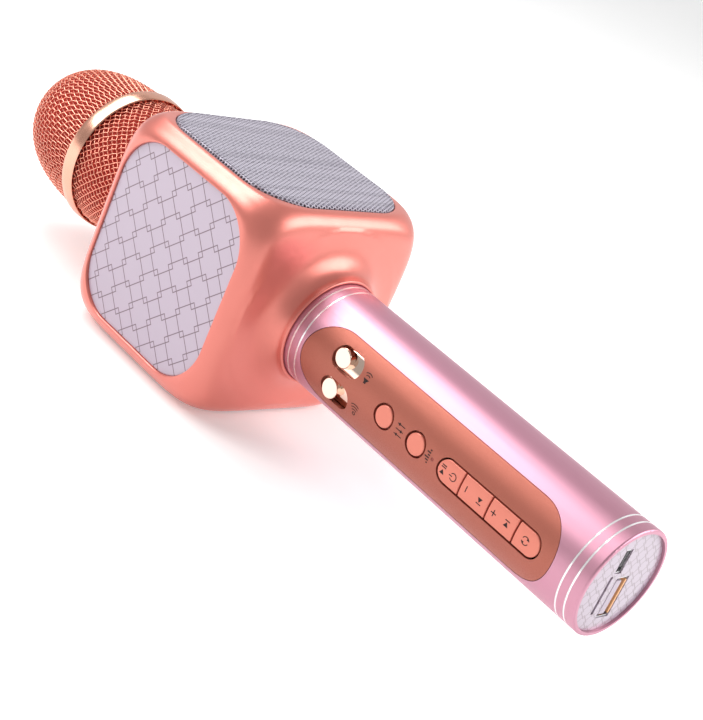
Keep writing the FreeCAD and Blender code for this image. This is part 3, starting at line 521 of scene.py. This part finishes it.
def build_housing():
    """The bulged cube in six sectors, each from its seams to its opening and back along the inside."""
    points, faces = [], []
    base = 0
    for axis, sign in ((0, 1), (0, -1), (1, 1), (1, -1), (2, 1), (2, -1)):
        n, a, b = face_frame(axis, sign)
        u, v, angle, reach = face_sector(opening_of(axis, sign))
        radial = np.cos(angle)[:, None] * a + np.sin(angle)[:, None] * b
        # the skin's height over the opening's outline, closing in on it
        opening = reach[:, None] * radial
        height = np.full(len(u), FLAT)
        for _ in range(HEIGHT_PASSES):
            p = opening + height[:, None] * n
            r = np.linalg.norm(p, axis=1)
            height = height * (cube_radius(p / r[:, None]) / r)
        start = opening + height[:, None] * n
        start_gnomonic = start / (start @ n)[:, None]
        seam = u[:, None] * a + v[:, None] * b + n

        def skin_ring(inner_edge, share, inset):
            """A ring between an edge and the seams, inset from the skin."""
            g = inner_edge * (1 - share) + seam * share
            d = g / np.linalg.norm(g, axis=1)[:, None]
            return d * (cube_radius(d) - inset)[:, None]

        crowded = np.linspace(0, 1, RINGS) ** RING_CROWDING
        skin = [skin_ring(start_gnomonic, k, 0.0) for k in crowded]
        if axis == 0 and sign > 0:
            lip = collar_lip(radial, n)
        elif axis == 0:
            lip = neck_lip(radial, n, start)
        else:
            lip = recess_lip(radial, n, start, PANEL_RECESS if axis == 1 else SPEAKER_RECESS)
        inner_edge = lip[-1] / np.maximum(lip[-1] @ n, 1e-6)[:, None]
        inner = [skin_ring(inner_edge, k, INNER_WALL) for k in np.linspace(0, 1, INNER_RINGS)[1:]]
        chain = skin[::-1] + lip + inner
        block = np.concatenate(chain)
        points.append(world(CUBE_S - block[:, 0], block[:, 1], block[:, 2]))
        faces += grid_faces(len(chain), len(u), base, closed=True)
        base += len(block)
    return merged(np.concatenate(points), faces, 0.004)


housing_points, housing_faces = build_housing()
piece(
    "housing_shell",
    housing_points,
    housing_faces,
    ROSE,
    ["speaker_housing"],
    sharp=50,
)

# ---------------------------------------------------------------- perforated speaker grilles
GRILLE_PITCH = 1.30
GRILLE_HOLE = 0.37
GRILLE_EDGE_HOLE = 0.5
GRILLE_HALF = 30.25
GRILLE_CORNER = 16.0
GRILLE_BEND = 1.0
GRILLE_TOP = 36.2
GRILLE_SHEET = 0.5


def grille_shape(u, v):
    """Flat sheet position -> bent-down sheet: place in the plane and drop, plus the normal."""
    angle = np.arctan2(v, u)
    rim = rounded_square(angle, GRILLE_HALF, GRILLE_CORNER)
    rho = np.hypot(u, v)
    flat_edge = rim - GRILLE_BEND
    over = np.clip(rho - flat_edge, 0, None)
    q = np.clip(over / GRILLE_BEND, 0, math.pi / 2)
    extra = np.clip(over - GRILLE_BEND * math.pi / 2, 0, None)
    radius = np.where(over > 0, flat_edge + GRILLE_BEND * np.sin(q), rho)
    drop = np.where(over > 0, GRILLE_BEND * (1 - np.cos(q)) + extra, 0.0)
    # the sheet is slightly domed
    dome = 0.15 * (np.clip(rho / rim, 0, 1) ** 2)
    slope = np.where(over > 0, q, 0.0)
    unit = np.stack([np.cos(angle), np.sin(angle)], -1)
    place = unit * radius[..., None]
    normal = np.concatenate([unit * np.sin(slope)[..., None], np.cos(slope)[..., None]], -1)
    return place, drop + dome, normal


def build_grille(sign):
    """One perforated sheet: hexagonal cells, each with a round hole."""
    p = GRILLE_PITCH
    row = p * math.sqrt(3) / 2
    limit = GRILLE_HALF + 1.6
    count = int(limit / row) + 2
    cells = []
    for j in range(-count, count + 1):
        for i in range(-count - 8, count + 9):
            cells.append((i * p + (0.5 * p if j % 2 else 0.0), j * row))
    cells = np.array(cells)
    rho = np.hypot(cells[:, 0], cells[:, 1])
    rim = rounded_square(np.arctan2(cells[:, 1], cells[:, 0]), GRILLE_HALF, GRILLE_CORNER)
    developed = rim - GRILLE_BEND + GRILLE_BEND * math.pi / 2 + 0.3
    cells = cells[rho < developed]
    step = np.arange(12) * (2 * math.pi / 12)
    round_hole = np.stack([np.cos(step), np.sin(step)], -1)
    rho = np.hypot(cells[:, 0], cells[:, 1])
    rim = rounded_square(np.arctan2(cells[:, 1], cells[:, 0]), GRILLE_HALF, GRILLE_CORNER)
    hole_size = np.where(rho > rim - 1.9 * GRILLE_BEND, GRILLE_EDGE_HOLE, GRILLE_HOLE)
    # the hexagon's outline at the same twelve angles, corners at odd multiples of 30 degrees
    fold = np.abs((step + math.pi / 6) % (math.pi / 3) - math.pi / 6)
    edge = np.stack([np.cos(step), np.sin(step)], -1) * (p / 2 / np.cos(fold))[:, None]
    n = len(cells)
    holes = cells[:, None, :] + round_hole[None] * hole_size[:, None, None]
    flat = np.concatenate([holes, cells[:, None, :] + edge[None]], axis=1).reshape(-1, 2)
    place, drop, normal = grille_shape(flat[:, 0], flat[:, 1])
    top = np.concatenate([place, (GRILLE_TOP - drop)[:, None]], -1)
    under = top - normal * GRILLE_SHEET
    both = np.concatenate([top, under])
    w = world(CUBE_S - both[:, 0] * 1.0, both[:, 1] * sign, both[:, 2] * sign)
    faces = []
    shift = n * 24
    for c in range(n):
        o = c * 24
        for k in range(12):
            q = (k + 1) % 12
            faces.append((o + k, o + 12 + k, o + 12 + q, o + q))
            faces.append((shift + o + q, shift + o + 12 + q, shift + o + 12 + k, shift + o + k))
            faces.append((o + q, shift + o + q, shift + o + k, o + k))
    # the outer border: edges of the hexagons that belong to one cell only
    keys = np.round(flat / 0.01).astype(np.int64)
    _, index = np.unique(keys, axis=0, return_inverse=True)
    index = index.reshape(-1)
    seen = {}
    for c in range(n):
        o = c * 24 + 12
        for k in range(12):
            a, b = o + k, o + (k + 1) % 12
            key = (min(index[a], index[b]), max(index[a], index[b]))
            seen.setdefault(key, []).append((a, b))
    for pair in seen.values():
        if len(pair) == 1:
            a, b = pair[0]
            faces.append((a, shift + a, shift + b, b))
    return merged(w, faces, 0.006)


for sign, cad in ((1, "upper_speaker_grille"), (-1, "lower_speaker_grille")):
    pts, fs = build_grille(sign)
    piece(cad + "_sheet", pts, fs, GRILLE, [cad], sharp=40)

# ---------------------------------------------------------------- woven wire head
WIRE = 0.20
WIRE_SIDES = 6
WIRE_SAMPLES = 8
WIRE_LIFT = WIRE * 0.95
SHORTEST_RUN = 6
DOME_PITCH = 1.85
BOWL_WIRES = 64
BOWL_TWIST = math.radians(2.35)


def meridian(s_values, r_values):
    """Turns a meridian, tip first, into developed radius (equal area) tables."""
    ds = np.hypot(np.diff(s_values), np.diff(r_values))
    mid = (r_values[1:] + r_values[:-1]) / 2
    area = np.concatenate([[0], np.cumsum(ds * mid)])
    return np.sqrt(2 * area)


BAND_IN, BAND_OUT = span("grille_band")
phi = np.linspace(0, math.pi / 2, 240)
power = 2 / 2.6
dome_s = 235.9 + 39.2 * np.cos(phi) ** power
dome_r = 23.9 * np.sin(phi) ** power
dome_s = np.append(dome_s, 233.6)
dome_r = np.append(dome_r, 23.9)
dome_f = meridian(dome_s, dome_r)

BOWL_IN = 203.2
q = np.arcsin(np.clip((232.0 - BOWL_IN) / 44.5, -1, 1))
phi = np.linspace(q, 0, 160)
bowl_s = np.append(232.0 - 44.5 * np.sin(phi), 233.0)
bowl_r = np.append(23.7 * np.cos(phi), 23.7)


def add_wire(points, faces, start, path, normal):
    """One round wire along a path over a surface. Returns the next free index."""
    tangent = np.gradient(path, axis=0)
    tangent /= np.maximum(np.linalg.norm(tangent, axis=1), 1e-9)[:, None]
    side = np.cross(normal, tangent)
    side /= np.maximum(np.linalg.norm(side, axis=1), 1e-9)[:, None]
    up = np.cross(tangent, side)
    ring = np.arange(WIRE_SIDES) * (2 * math.pi / WIRE_SIDES)
    across = side[:, None, :] * np.cos(ring)[None, :, None]
    section = across + up[:, None, :] * np.sin(ring)[None, :, None]
    points.append((path[:, None, :] + WIRE * section).reshape(-1, 3))
    m = len(path)
    faces.extend(grid_faces(m, WIRE_SIDES, start, closed=True))
    last = start + (m - 1) * WIRE_SIDES
    faces.append(tuple(range(start, start + WIRE_SIDES))[::-1])
    faces.append(tuple(range(last, last + WIRE_SIDES)))
    return last + WIRE_SIDES


def build_dome(surface, reach, pitch):
    """Over-and-under wires on the dome. surface maps a flat sheet of half-width reach to it."""
    points, faces = [], []
    start = 0
    count = int(reach / pitch) + 1
    for family in (0, 1):
        for line in range(-count, count + 1):
            fixed = line * pitch + 0.5 * pitch
            t = np.arange(-reach, reach, pitch / WIRE_SAMPLES)
            lines = [t, np.full_like(t, fixed)]
            uv = np.stack(lines if family == 0 else lines[::-1], -1)
            kept = np.hypot(uv[:, 0], uv[:, 1]) < reach - 0.2
            ends = np.flatnonzero(np.diff(np.concatenate([[0], kept.astype(int), [0]])))
            for a, b in zip(ends[::2], ends[1::2]):
                if b - a < SHORTEST_RUN:
                    continue
                centre, normal = surface(uv[a:b])
                phase = math.pi * (t[a:b] / pitch - 0.5)
                lift = np.cos(phase) * (1 if (line + family) % 2 else -1) * WIRE_LIFT
                start = add_wire(points, faces, start, centre + normal * lift[:, None], normal)
    pts = np.concatenate(points)
    w = world(pts[:, 0], pts[:, 1], pts[:, 2])
    piece("dome_mesh", w, faces, MESH, ["upper_grille_dome"])


def turned_surface(f_table, s_table, r_table):
    """A map from the flat sheet to a turned surface, by distance from the sheet's centre."""
    ds, dr = np.gradient(s_table), np.gradient(r_table)
    length = np.maximum(np.hypot(ds, dr), 1e-9)
    n_s, n_r = -dr / length, ds / length
    turn = np.sign(n_r[len(n_r) // 2])
    n_s, n_r = n_s * turn, n_r * turn

    def at(uv):
        rho = np.hypot(uv[:, 0], uv[:, 1])
        angle = np.arctan2(uv[:, 1], uv[:, 0])
        s = np.interp(rho, f_table, s_table)
        r = np.interp(rho, f_table, r_table)
        ns, nr = np.interp(rho, f_table, n_s), np.interp(rho, f_table, n_r)
        size = np.maximum(np.hypot(ns, nr), 1e-9)
        ns, nr = ns / size, nr / size
        c, k = np.cos(angle), np.sin(angle)
        return np.stack([s, r * c, r * k], -1), np.stack([ns, nr * c, nr * k], -1)

    return at


build_dome(turned_surface(dome_f, dome_s, dome_r), dome_f[-1], DOME_PITCH)

bowl_length = np.concatenate([[0], np.cumsum(np.hypot(np.diff(bowl_s), np.diff(bowl_r)))])


def build_bowl():
    """Two families of helical wires crossing as diamonds round the bowl."""
    points, faces = [], []
    start = 0
    total = bowl_length[-1]
    ds, dr = np.gradient(bowl_s), np.gradient(bowl_r)
    size = np.hypot(ds, dr)
    n_s, n_r = -dr / size, ds / size
    # crossings with the other family along one wire
    crossings = 2 * BOWL_TWIST * total * BOWL_WIRES / (2 * math.pi)
    v = np.linspace(0, total, int(crossings * WIRE_SAMPLES))
    s = np.interp(v, bowl_length, bowl_s)
    r = np.interp(v, bowl_length, bowl_r)
    ns, nr = np.interp(v, bowl_length, n_s), np.interp(v, bowl_length, n_r)
    wave = 2 * BOWL_TWIST * v / (2 * math.pi / BOWL_WIRES)
    for family in (1, -1):
        for line in range(BOWL_WIRES):
            angle = 2 * math.pi * line / BOWL_WIRES + family * BOWL_TWIST * v
            c, k = np.cos(angle), np.sin(angle)
            normal = np.stack([ns, nr * c, nr * k], -1)
            centre = np.stack([s, r * c, r * k], -1)
            lift = np.cos(math.pi * wave) * family * (1 if line % 2 else -1) * WIRE_LIFT
            start = add_wire(points, faces, start, centre + normal * lift[:, None], normal)
    pts = np.concatenate(points)
    w = world(pts[:, 0], pts[:, 1], pts[:, 2])
    piece("bowl_mesh", w, faces, MESH, ["lower_grille_bowl"])


build_bowl()


# ---------------------------------------------------------------- foam inside the head
def build_foam():
    """A porous lining just inside the wire."""
    rows, turns, depth = 150, 220, 1.15
    s_out = np.concatenate([dome_s[:-1], bowl_s[::-1]])
    r_out = np.concatenate([dome_r[:-1], bowl_r[::-1]])
    order = np.argsort(-s_out, kind="stable")
    s_out, r_out = s_out[order], r_out[order]
    length = np.concatenate([[0], np.cumsum(np.hypot(np.diff(s_out), np.diff(r_out)))])
    t = np.linspace(0, length[-1], rows)
    s = np.interp(t, length, s_out)
    r = np.interp(t, length, r_out)
    ds, dr = np.gradient(s), np.gradient(r)
    size = np.maximum(np.hypot(ds, dr), 1e-9)
    n_s, n_r = dr / size, -ds / size
    angle = np.linspace(0, 2 * math.pi, turns, endpoint=False)
    rng = np.random.default_rng(7)
    rough = rng.normal(0, 0.12, (rows, turns))
    inset = depth + np.clip(rough, -0.3, 0.3)
    s_in = s[:, None] - n_s[:, None] * inset
    r_in = np.maximum(r[:, None] - n_r[:, None] * inset, 0.02)
    s_in = np.clip(s_in, s.min() + 0.4, s.max() - depth)
    pts = world(s_in, r_in * np.cos(angle), r_in * np.sin(angle)).reshape(-1, 3)
    faces = grid_faces(rows, turns, 0, closed=True)
    low_end = len(pts)
    tips = [world(s_in[i].mean(), 0.0, 0.0)[None] for i in (0, -1)]
    pts = np.concatenate([pts, *tips])
    for j in range(turns):
        k = (j + 1) % turns
        faces.append((low_end, k, j))
        faces.append((low_end + 1, (rows - 1) * turns + j, (rows - 1) * turns + k))
    obj = piece("foam_lining", pts, faces, FOAM, ["windscreen_foam"])


build_foam()

# ---------------------------------------------------------------- polished band
band = []
for s, r in (
    (BAND_IN + 0.9, 23.95),
    (BAND_IN + 0.35, 24.15),
    (BAND_IN, 24.75),
    (BAND_IN + 0.25, 24.98),
    (BAND_IN + 0.55, 25.05),
    ((BAND_IN + BAND_OUT) / 2, 25.30),
    (BAND_OUT - 0.55, 25.38),
    (BAND_OUT - 0.2, 25.30),
    (BAND_OUT, 25.0),
    (BAND_OUT - 0.05, 24.3),
):
    band.append((s, r))
lathe("band_ring", band, BAND, ["grille_band"], turns=220, sharp=60)

# ---------------------------------------------------------------- symbols on the panel and the keys
SYMBOL_SHEET = 0.09


def wrapped(name, outlines, s0, arc0, body, radius, material=PRINT):
    """Thin raised symbols wrapped on the handle's skin.

    An outline is a convex loop of (up, right) in mm, and up is towards the head.
    """
    points, faces = [], []
    start = 0
    for loop in outlines:
        # cut long edges so that the sheet follows the curve
        fine = []
        n = len(loop)
        for i in range(n):
            a, b = np.array(loop[i]), np.array(loop[(i + 1) % n])
            steps = max(1, int(np.linalg.norm(b - a) / 0.5))
            for k in range(steps):
                fine.append(a + (b - a) * k / steps)
        fine = np.array(fine)
        centre = fine.mean(0)
        both = np.concatenate([fine, centre[None]])
        m = len(fine)
        for level in (0.0, 1.0):
            s = s0 + both[:, 0]
            turn = (arc0 + both[:, 1]) / radius
            rr = radius - 0.05 + level * SYMBOL_SHEET
            points.append(world(s, -rr * np.cos(turn), rr * np.sin(turn)))
        top = start + m + 1
        for k in range(m):
            q = (k + 1) % m
            faces.append((top + k, top + q, top + m))
            faces.append((start + q, start + k, start + m))
            faces.append((start + k, start + q, top + q, top + k))
        start += 2 * (m + 1)
    return piece(name, np.concatenate(points), faces, material, (), body, smooth=False)


def bar(u0, v0, u1, v1):
    return [(u0, v0), (u1, v0), (u1, v1), (u0, v1)]


def stroke(u0, v0, u1, v1, width):
    a, b = np.array([u0, v0], float), np.array([u1, v1], float)
    d = (b - a) / np.linalg.norm(b - a)
    n = np.array([-d[1], d[0]]) * width / 2
    return [tuple(a - n), tuple(b - n), tuple(b + n), tuple(a + n)]


def arc_band(radius, width, first, last, u0=0.0, v0=0.0, steps=18):
    """Short strokes along an arc; angles in degrees from up, turning right."""
    loops = []
    edge = np.radians(np.linspace(first, last, steps + 1))
    for a, b in zip(edge[:-1], edge[1:]):
        i, o = radius - width / 2, radius + width / 2
        loops.append(
            [
                (u0 + i * math.cos(a), v0 + i * math.sin(a)),
                (u0 + i * math.cos(b), v0 + i * math.sin(b)),
                (u0 + o * math.cos(b), v0 + o * math.sin(b)),
                (u0 + o * math.cos(a), v0 + o * math.sin(a)),
            ]
        )
    return loops


def triangle(u0, v0, size, direction):
    """direction 1 points right, -1 left."""
    reach = direction * size * 0.8
    return [(u0 - size, v0 - reach), (u0 + size, v0 - reach), (u0, v0 + reach)]


speaker_icon = [bar(-0.45, -1.4, 0.45, -0.8), [(-0.45, -0.8), (0.45, -0.8), (1.15, 0.0), (-1.15, 0.0)]]
speaker_icon += arc_band(1.2, 0.26, 50, 130, 0, -0.1, 8) + arc_band(2.0, 0.26, 50, 130, 0, -0.1, 8)
echo_icon = (
    arc_band(0.5, 0.26, 0, 360, 0, -1.3, 12)
    + arc_band(1.35, 0.26, 45, 135, 0, -1.3, 8)
    + arc_band(2.2, 0.26, 52, 128, 0, -1.3, 8)
    + arc_band(3.05, 0.26, 58, 122, 0, -1.3, 8)
)
tone_icon = [stroke(-1.5, v, 1.5, v, 0.26) for v in (-1.6, 0.0, 1.6)]
tone_icon += [bar(0.3, -2.0, 0.8, -1.2), bar(-0.9, -0.4, -0.4, 0.4), bar(0.5, 1.2, 1.0, 2.0)]
beat_heights = (0.5, 1.1, 1.7, 0.8, 1.4, 0.6)
beat_icon = [bar(-0.8, -2.15 + 0.78 * i, h - 0.8, -1.75 + 0.78 * i) for i, h in enumerate(beat_heights)]
play_icon = [triangle(0, -0.75, 0.85, 1), bar(-0.85, 0.45, 0.85, 0.75), bar(-0.85, 1.05, 0.85, 1.35)]
power_icon = arc_band(1.1, 0.25, 35, 325, 0, 0, 20) + [bar(0.35, -0.13, 1.5, 0.13)]
minus_icon = [bar(-0.14, -0.95, 0.14, 0.95)]
plus_icon = [bar(-0.14, -0.95, 0.14, 0.95), bar(0.14, -0.14, 0.95, 0.14), bar(-0.95, -0.14, -0.14, 0.14)]
previous_icon = [bar(-0.85, -1.15, 0.85, -0.88), triangle(0, 0.05, 0.85, -1)]
next_icon = [triangle(0, -0.05, 0.85, 1), bar(-0.85, 0.88, 0.85, 1.15)]
mode_icon = arc_band(1.15, 0.25, 20, 160, 0, 0, 10) + arc_band(1.15, 0.25, 200, 340, 0, 0, 10)
mode_icon += [[(0.35, -0.4), (0.35, 0.4 - 1.6), (1.25, -0.55)], [(-0.35, 0.4), (-0.35, 1.2), (-1.25, 0.55)]]

for name, icon, s0, arc0, body in (
    ("volume_symbol", speaker_icon, 90.8, 5.1, ROOT),
    ("echo_symbol", echo_icon, 90.3, -5.1, ROOT),
    ("tone_symbol", tone_icon, 72.5, 0.0, ROOT),
    ("accompaniment_symbol", beat_icon, 60.5, 0.0, ROOT),
    ("play_symbol", play_icon, 54.0, 0.0, "power_button"),
    ("power_symbol", power_icon, 50.0, 0.0, "power_button"),
    ("minus_symbol", minus_icon, 44.6, 0.0, "previous_button"),
    ("previous_symbol", previous_icon, 39.3, 0.0, "previous_button"),
    ("plus_symbol", plus_icon, 33.75, 0.0, "next_button"),
    ("next_symbol", next_icon, 28.8, 0.0, "next_button"),
    ("mode_symbol", mode_icon, 21.5, 0.0, "mode_button"),
):
    if body == ROOT:
        skin = -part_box("control_panel")[0].y / MM
    else:
        skin = -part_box(body)[0].y / MM
    wrapped(name, icon, s0, arc0, body, skin)

# ---------------------------------------------------------------- inside the large socket
def chamfered_block(name, s0, s1, y0, y1, z0, z1, chamfer, material):
    """A bar along the handle with cut corners and an eased front."""
    def loop(inset):
        a, b, c, d = y0 + inset, y1 - inset, z0 + inset, z1 - inset
        k = chamfer
        lower = [(a + k, c), (b - k, c), (b, c + k), (b, d - k)]
        return lower + [(b - k, d), (a + k, d), (a, d - k), (a, c + k)]

    rows = [(s0, loop(chamfer * 0.6)), (s0 + chamfer, loop(0.0)), (s1, loop(0.0))]
    pts = np.concatenate([world(s, *np.array(ring).T) for s, ring in rows])
    faces = grid_faces(3, 8, 0, closed=True)
    faces += [tuple(range(8))[::-1], tuple(range(16, 24))]
    piece(name, pts, faces, material, smooth=False)


usb_low, usb_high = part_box("usb_a_socket")
usb_y = (usb_low.y + usb_high.y) / 2 / MM
usb_z = ((usb_low.z + usb_high.z) / 2 - AXIS_Z) / MM
TONGUE = shader("socket_tongue", (0.50, 0.42, 0.50), 0.0, 0.4)
GOLD = shader("contact_gold", (0.95, 0.52, 0.25), 0.4, 0.4)
for name, s0, s1, y0, y1, half, chamfer, material in (
    ("usb_tongue", 1.0, 9.0, -2.25, 0.3, 5.5, 0.15, TONGUE),
    ("usb_contacts", 0.95, 7.5, 1.9, 2.4, 5.6, 0.1, GOLD),
):
    chamfered_block(
        name, s0, s1, usb_y + y0, usb_y + y1, usb_z - half, usb_z + half, chamfer, material
    )

# ---------------------------------------------------------------- CAD meshes shown as they are
for o in frame["nodes"].values():
    if o.hide_render:
        continue
    mesh = o.data
    mesh.polygons.foreach_set("use_smooth", [True] * len(mesh.polygons))

# ---------------------------------------------------------------- stage
floor_mesh = bpy.data.meshes.new("studio_floor")
sweep = []
for y, z in ((-3.0, 0.0), (1.2, 0.0), (1.6, 0.06), (1.9, 0.25), (2.1, 0.6), (2.2, 1.2), (2.2, 3.0)):
    sweep.append((y, z))
floor_pts = [(x, y, z) for y, z in sweep for x in (-4.0, 4.0)]
floor_faces = [(2 * i, 2 * i + 1, 2 * i + 3, 2 * i + 2) for i in range(len(sweep) - 1)]
floor_mesh.from_pydata(floor_pts, [], floor_faces)
floor_mesh.polygons.foreach_set("use_smooth", [True] * len(floor_mesh.polygons))
floor = bpy.data.objects.new("studio_floor", floor_mesh)
bpy.context.collection.objects.link(floor)
paper = shader("studio_white", (0.95, 0.95, 0.95), 0.0, 0.7)
bsdf(paper).inputs["Emission Color"].default_value = (1, 1, 1, 1)
bsdf(paper).inputs["Emission Strength"].default_value = 0.24
floor_mesh.materials.append(paper)

sky = bpy.data.worlds.new("studio")
sky.use_nodes = True
sky.node_tree.nodes["Background"].inputs["Color"].default_value = (1.0, 1.0, 1.0, 1)
sky.node_tree.nodes["Background"].inputs["Strength"].default_value = 0.42
bpy.context.scene.world = sky
bpy.context.scene.view_settings.view_transform = "Standard"


def soft_box(name, place, target, size, energy, colour=(1, 1, 1)):
    lamp = bpy.data.lights.new(name, "AREA")
    lamp.shape = "RECTANGLE"
    lamp.size, lamp.size_y = size
    lamp.energy = energy
    lamp.color = colour
    o = bpy.data.objects.new(name, lamp)
    o.location = place
    o.rotation_euler = (Vector(target) - Vector(place)).to_track_quat("-Z", "Y").to_euler()
    bpy.context.collection.objects.link(o)
    return o


centre = (0.0, 0.0, 0.035)
soft_box("key_above", (-0.50, -0.10, 0.76), centre, (0.60, 0.40), 4.8)
soft_box("side_left", (-0.52, -0.50, 0.58), centre, (0.40, 0.30), 3.0)
soft_box("bell_side", (0.58, 0.50, 0.52), centre, (0.70, 0.55), 5.5)

camera_data = bpy.data.cameras.new("photo_camera")
camera_data.lens = 82.318
camera_data.sensor_width = 36.0
camera_data.clip_start = 0.01
camera_data.clip_end = 20.0
camera = bpy.data.objects.new("photo_camera", camera_data)
camera.location = (0.30494, -0.35981, 0.22094)
camera.rotation_euler = Euler([math.radians(a) for a in (65.73517, -22.49121, 47.53176)], "XYZ")
bpy.context.collection.objects.link(camera)
bpy.context.scene.camera = camera
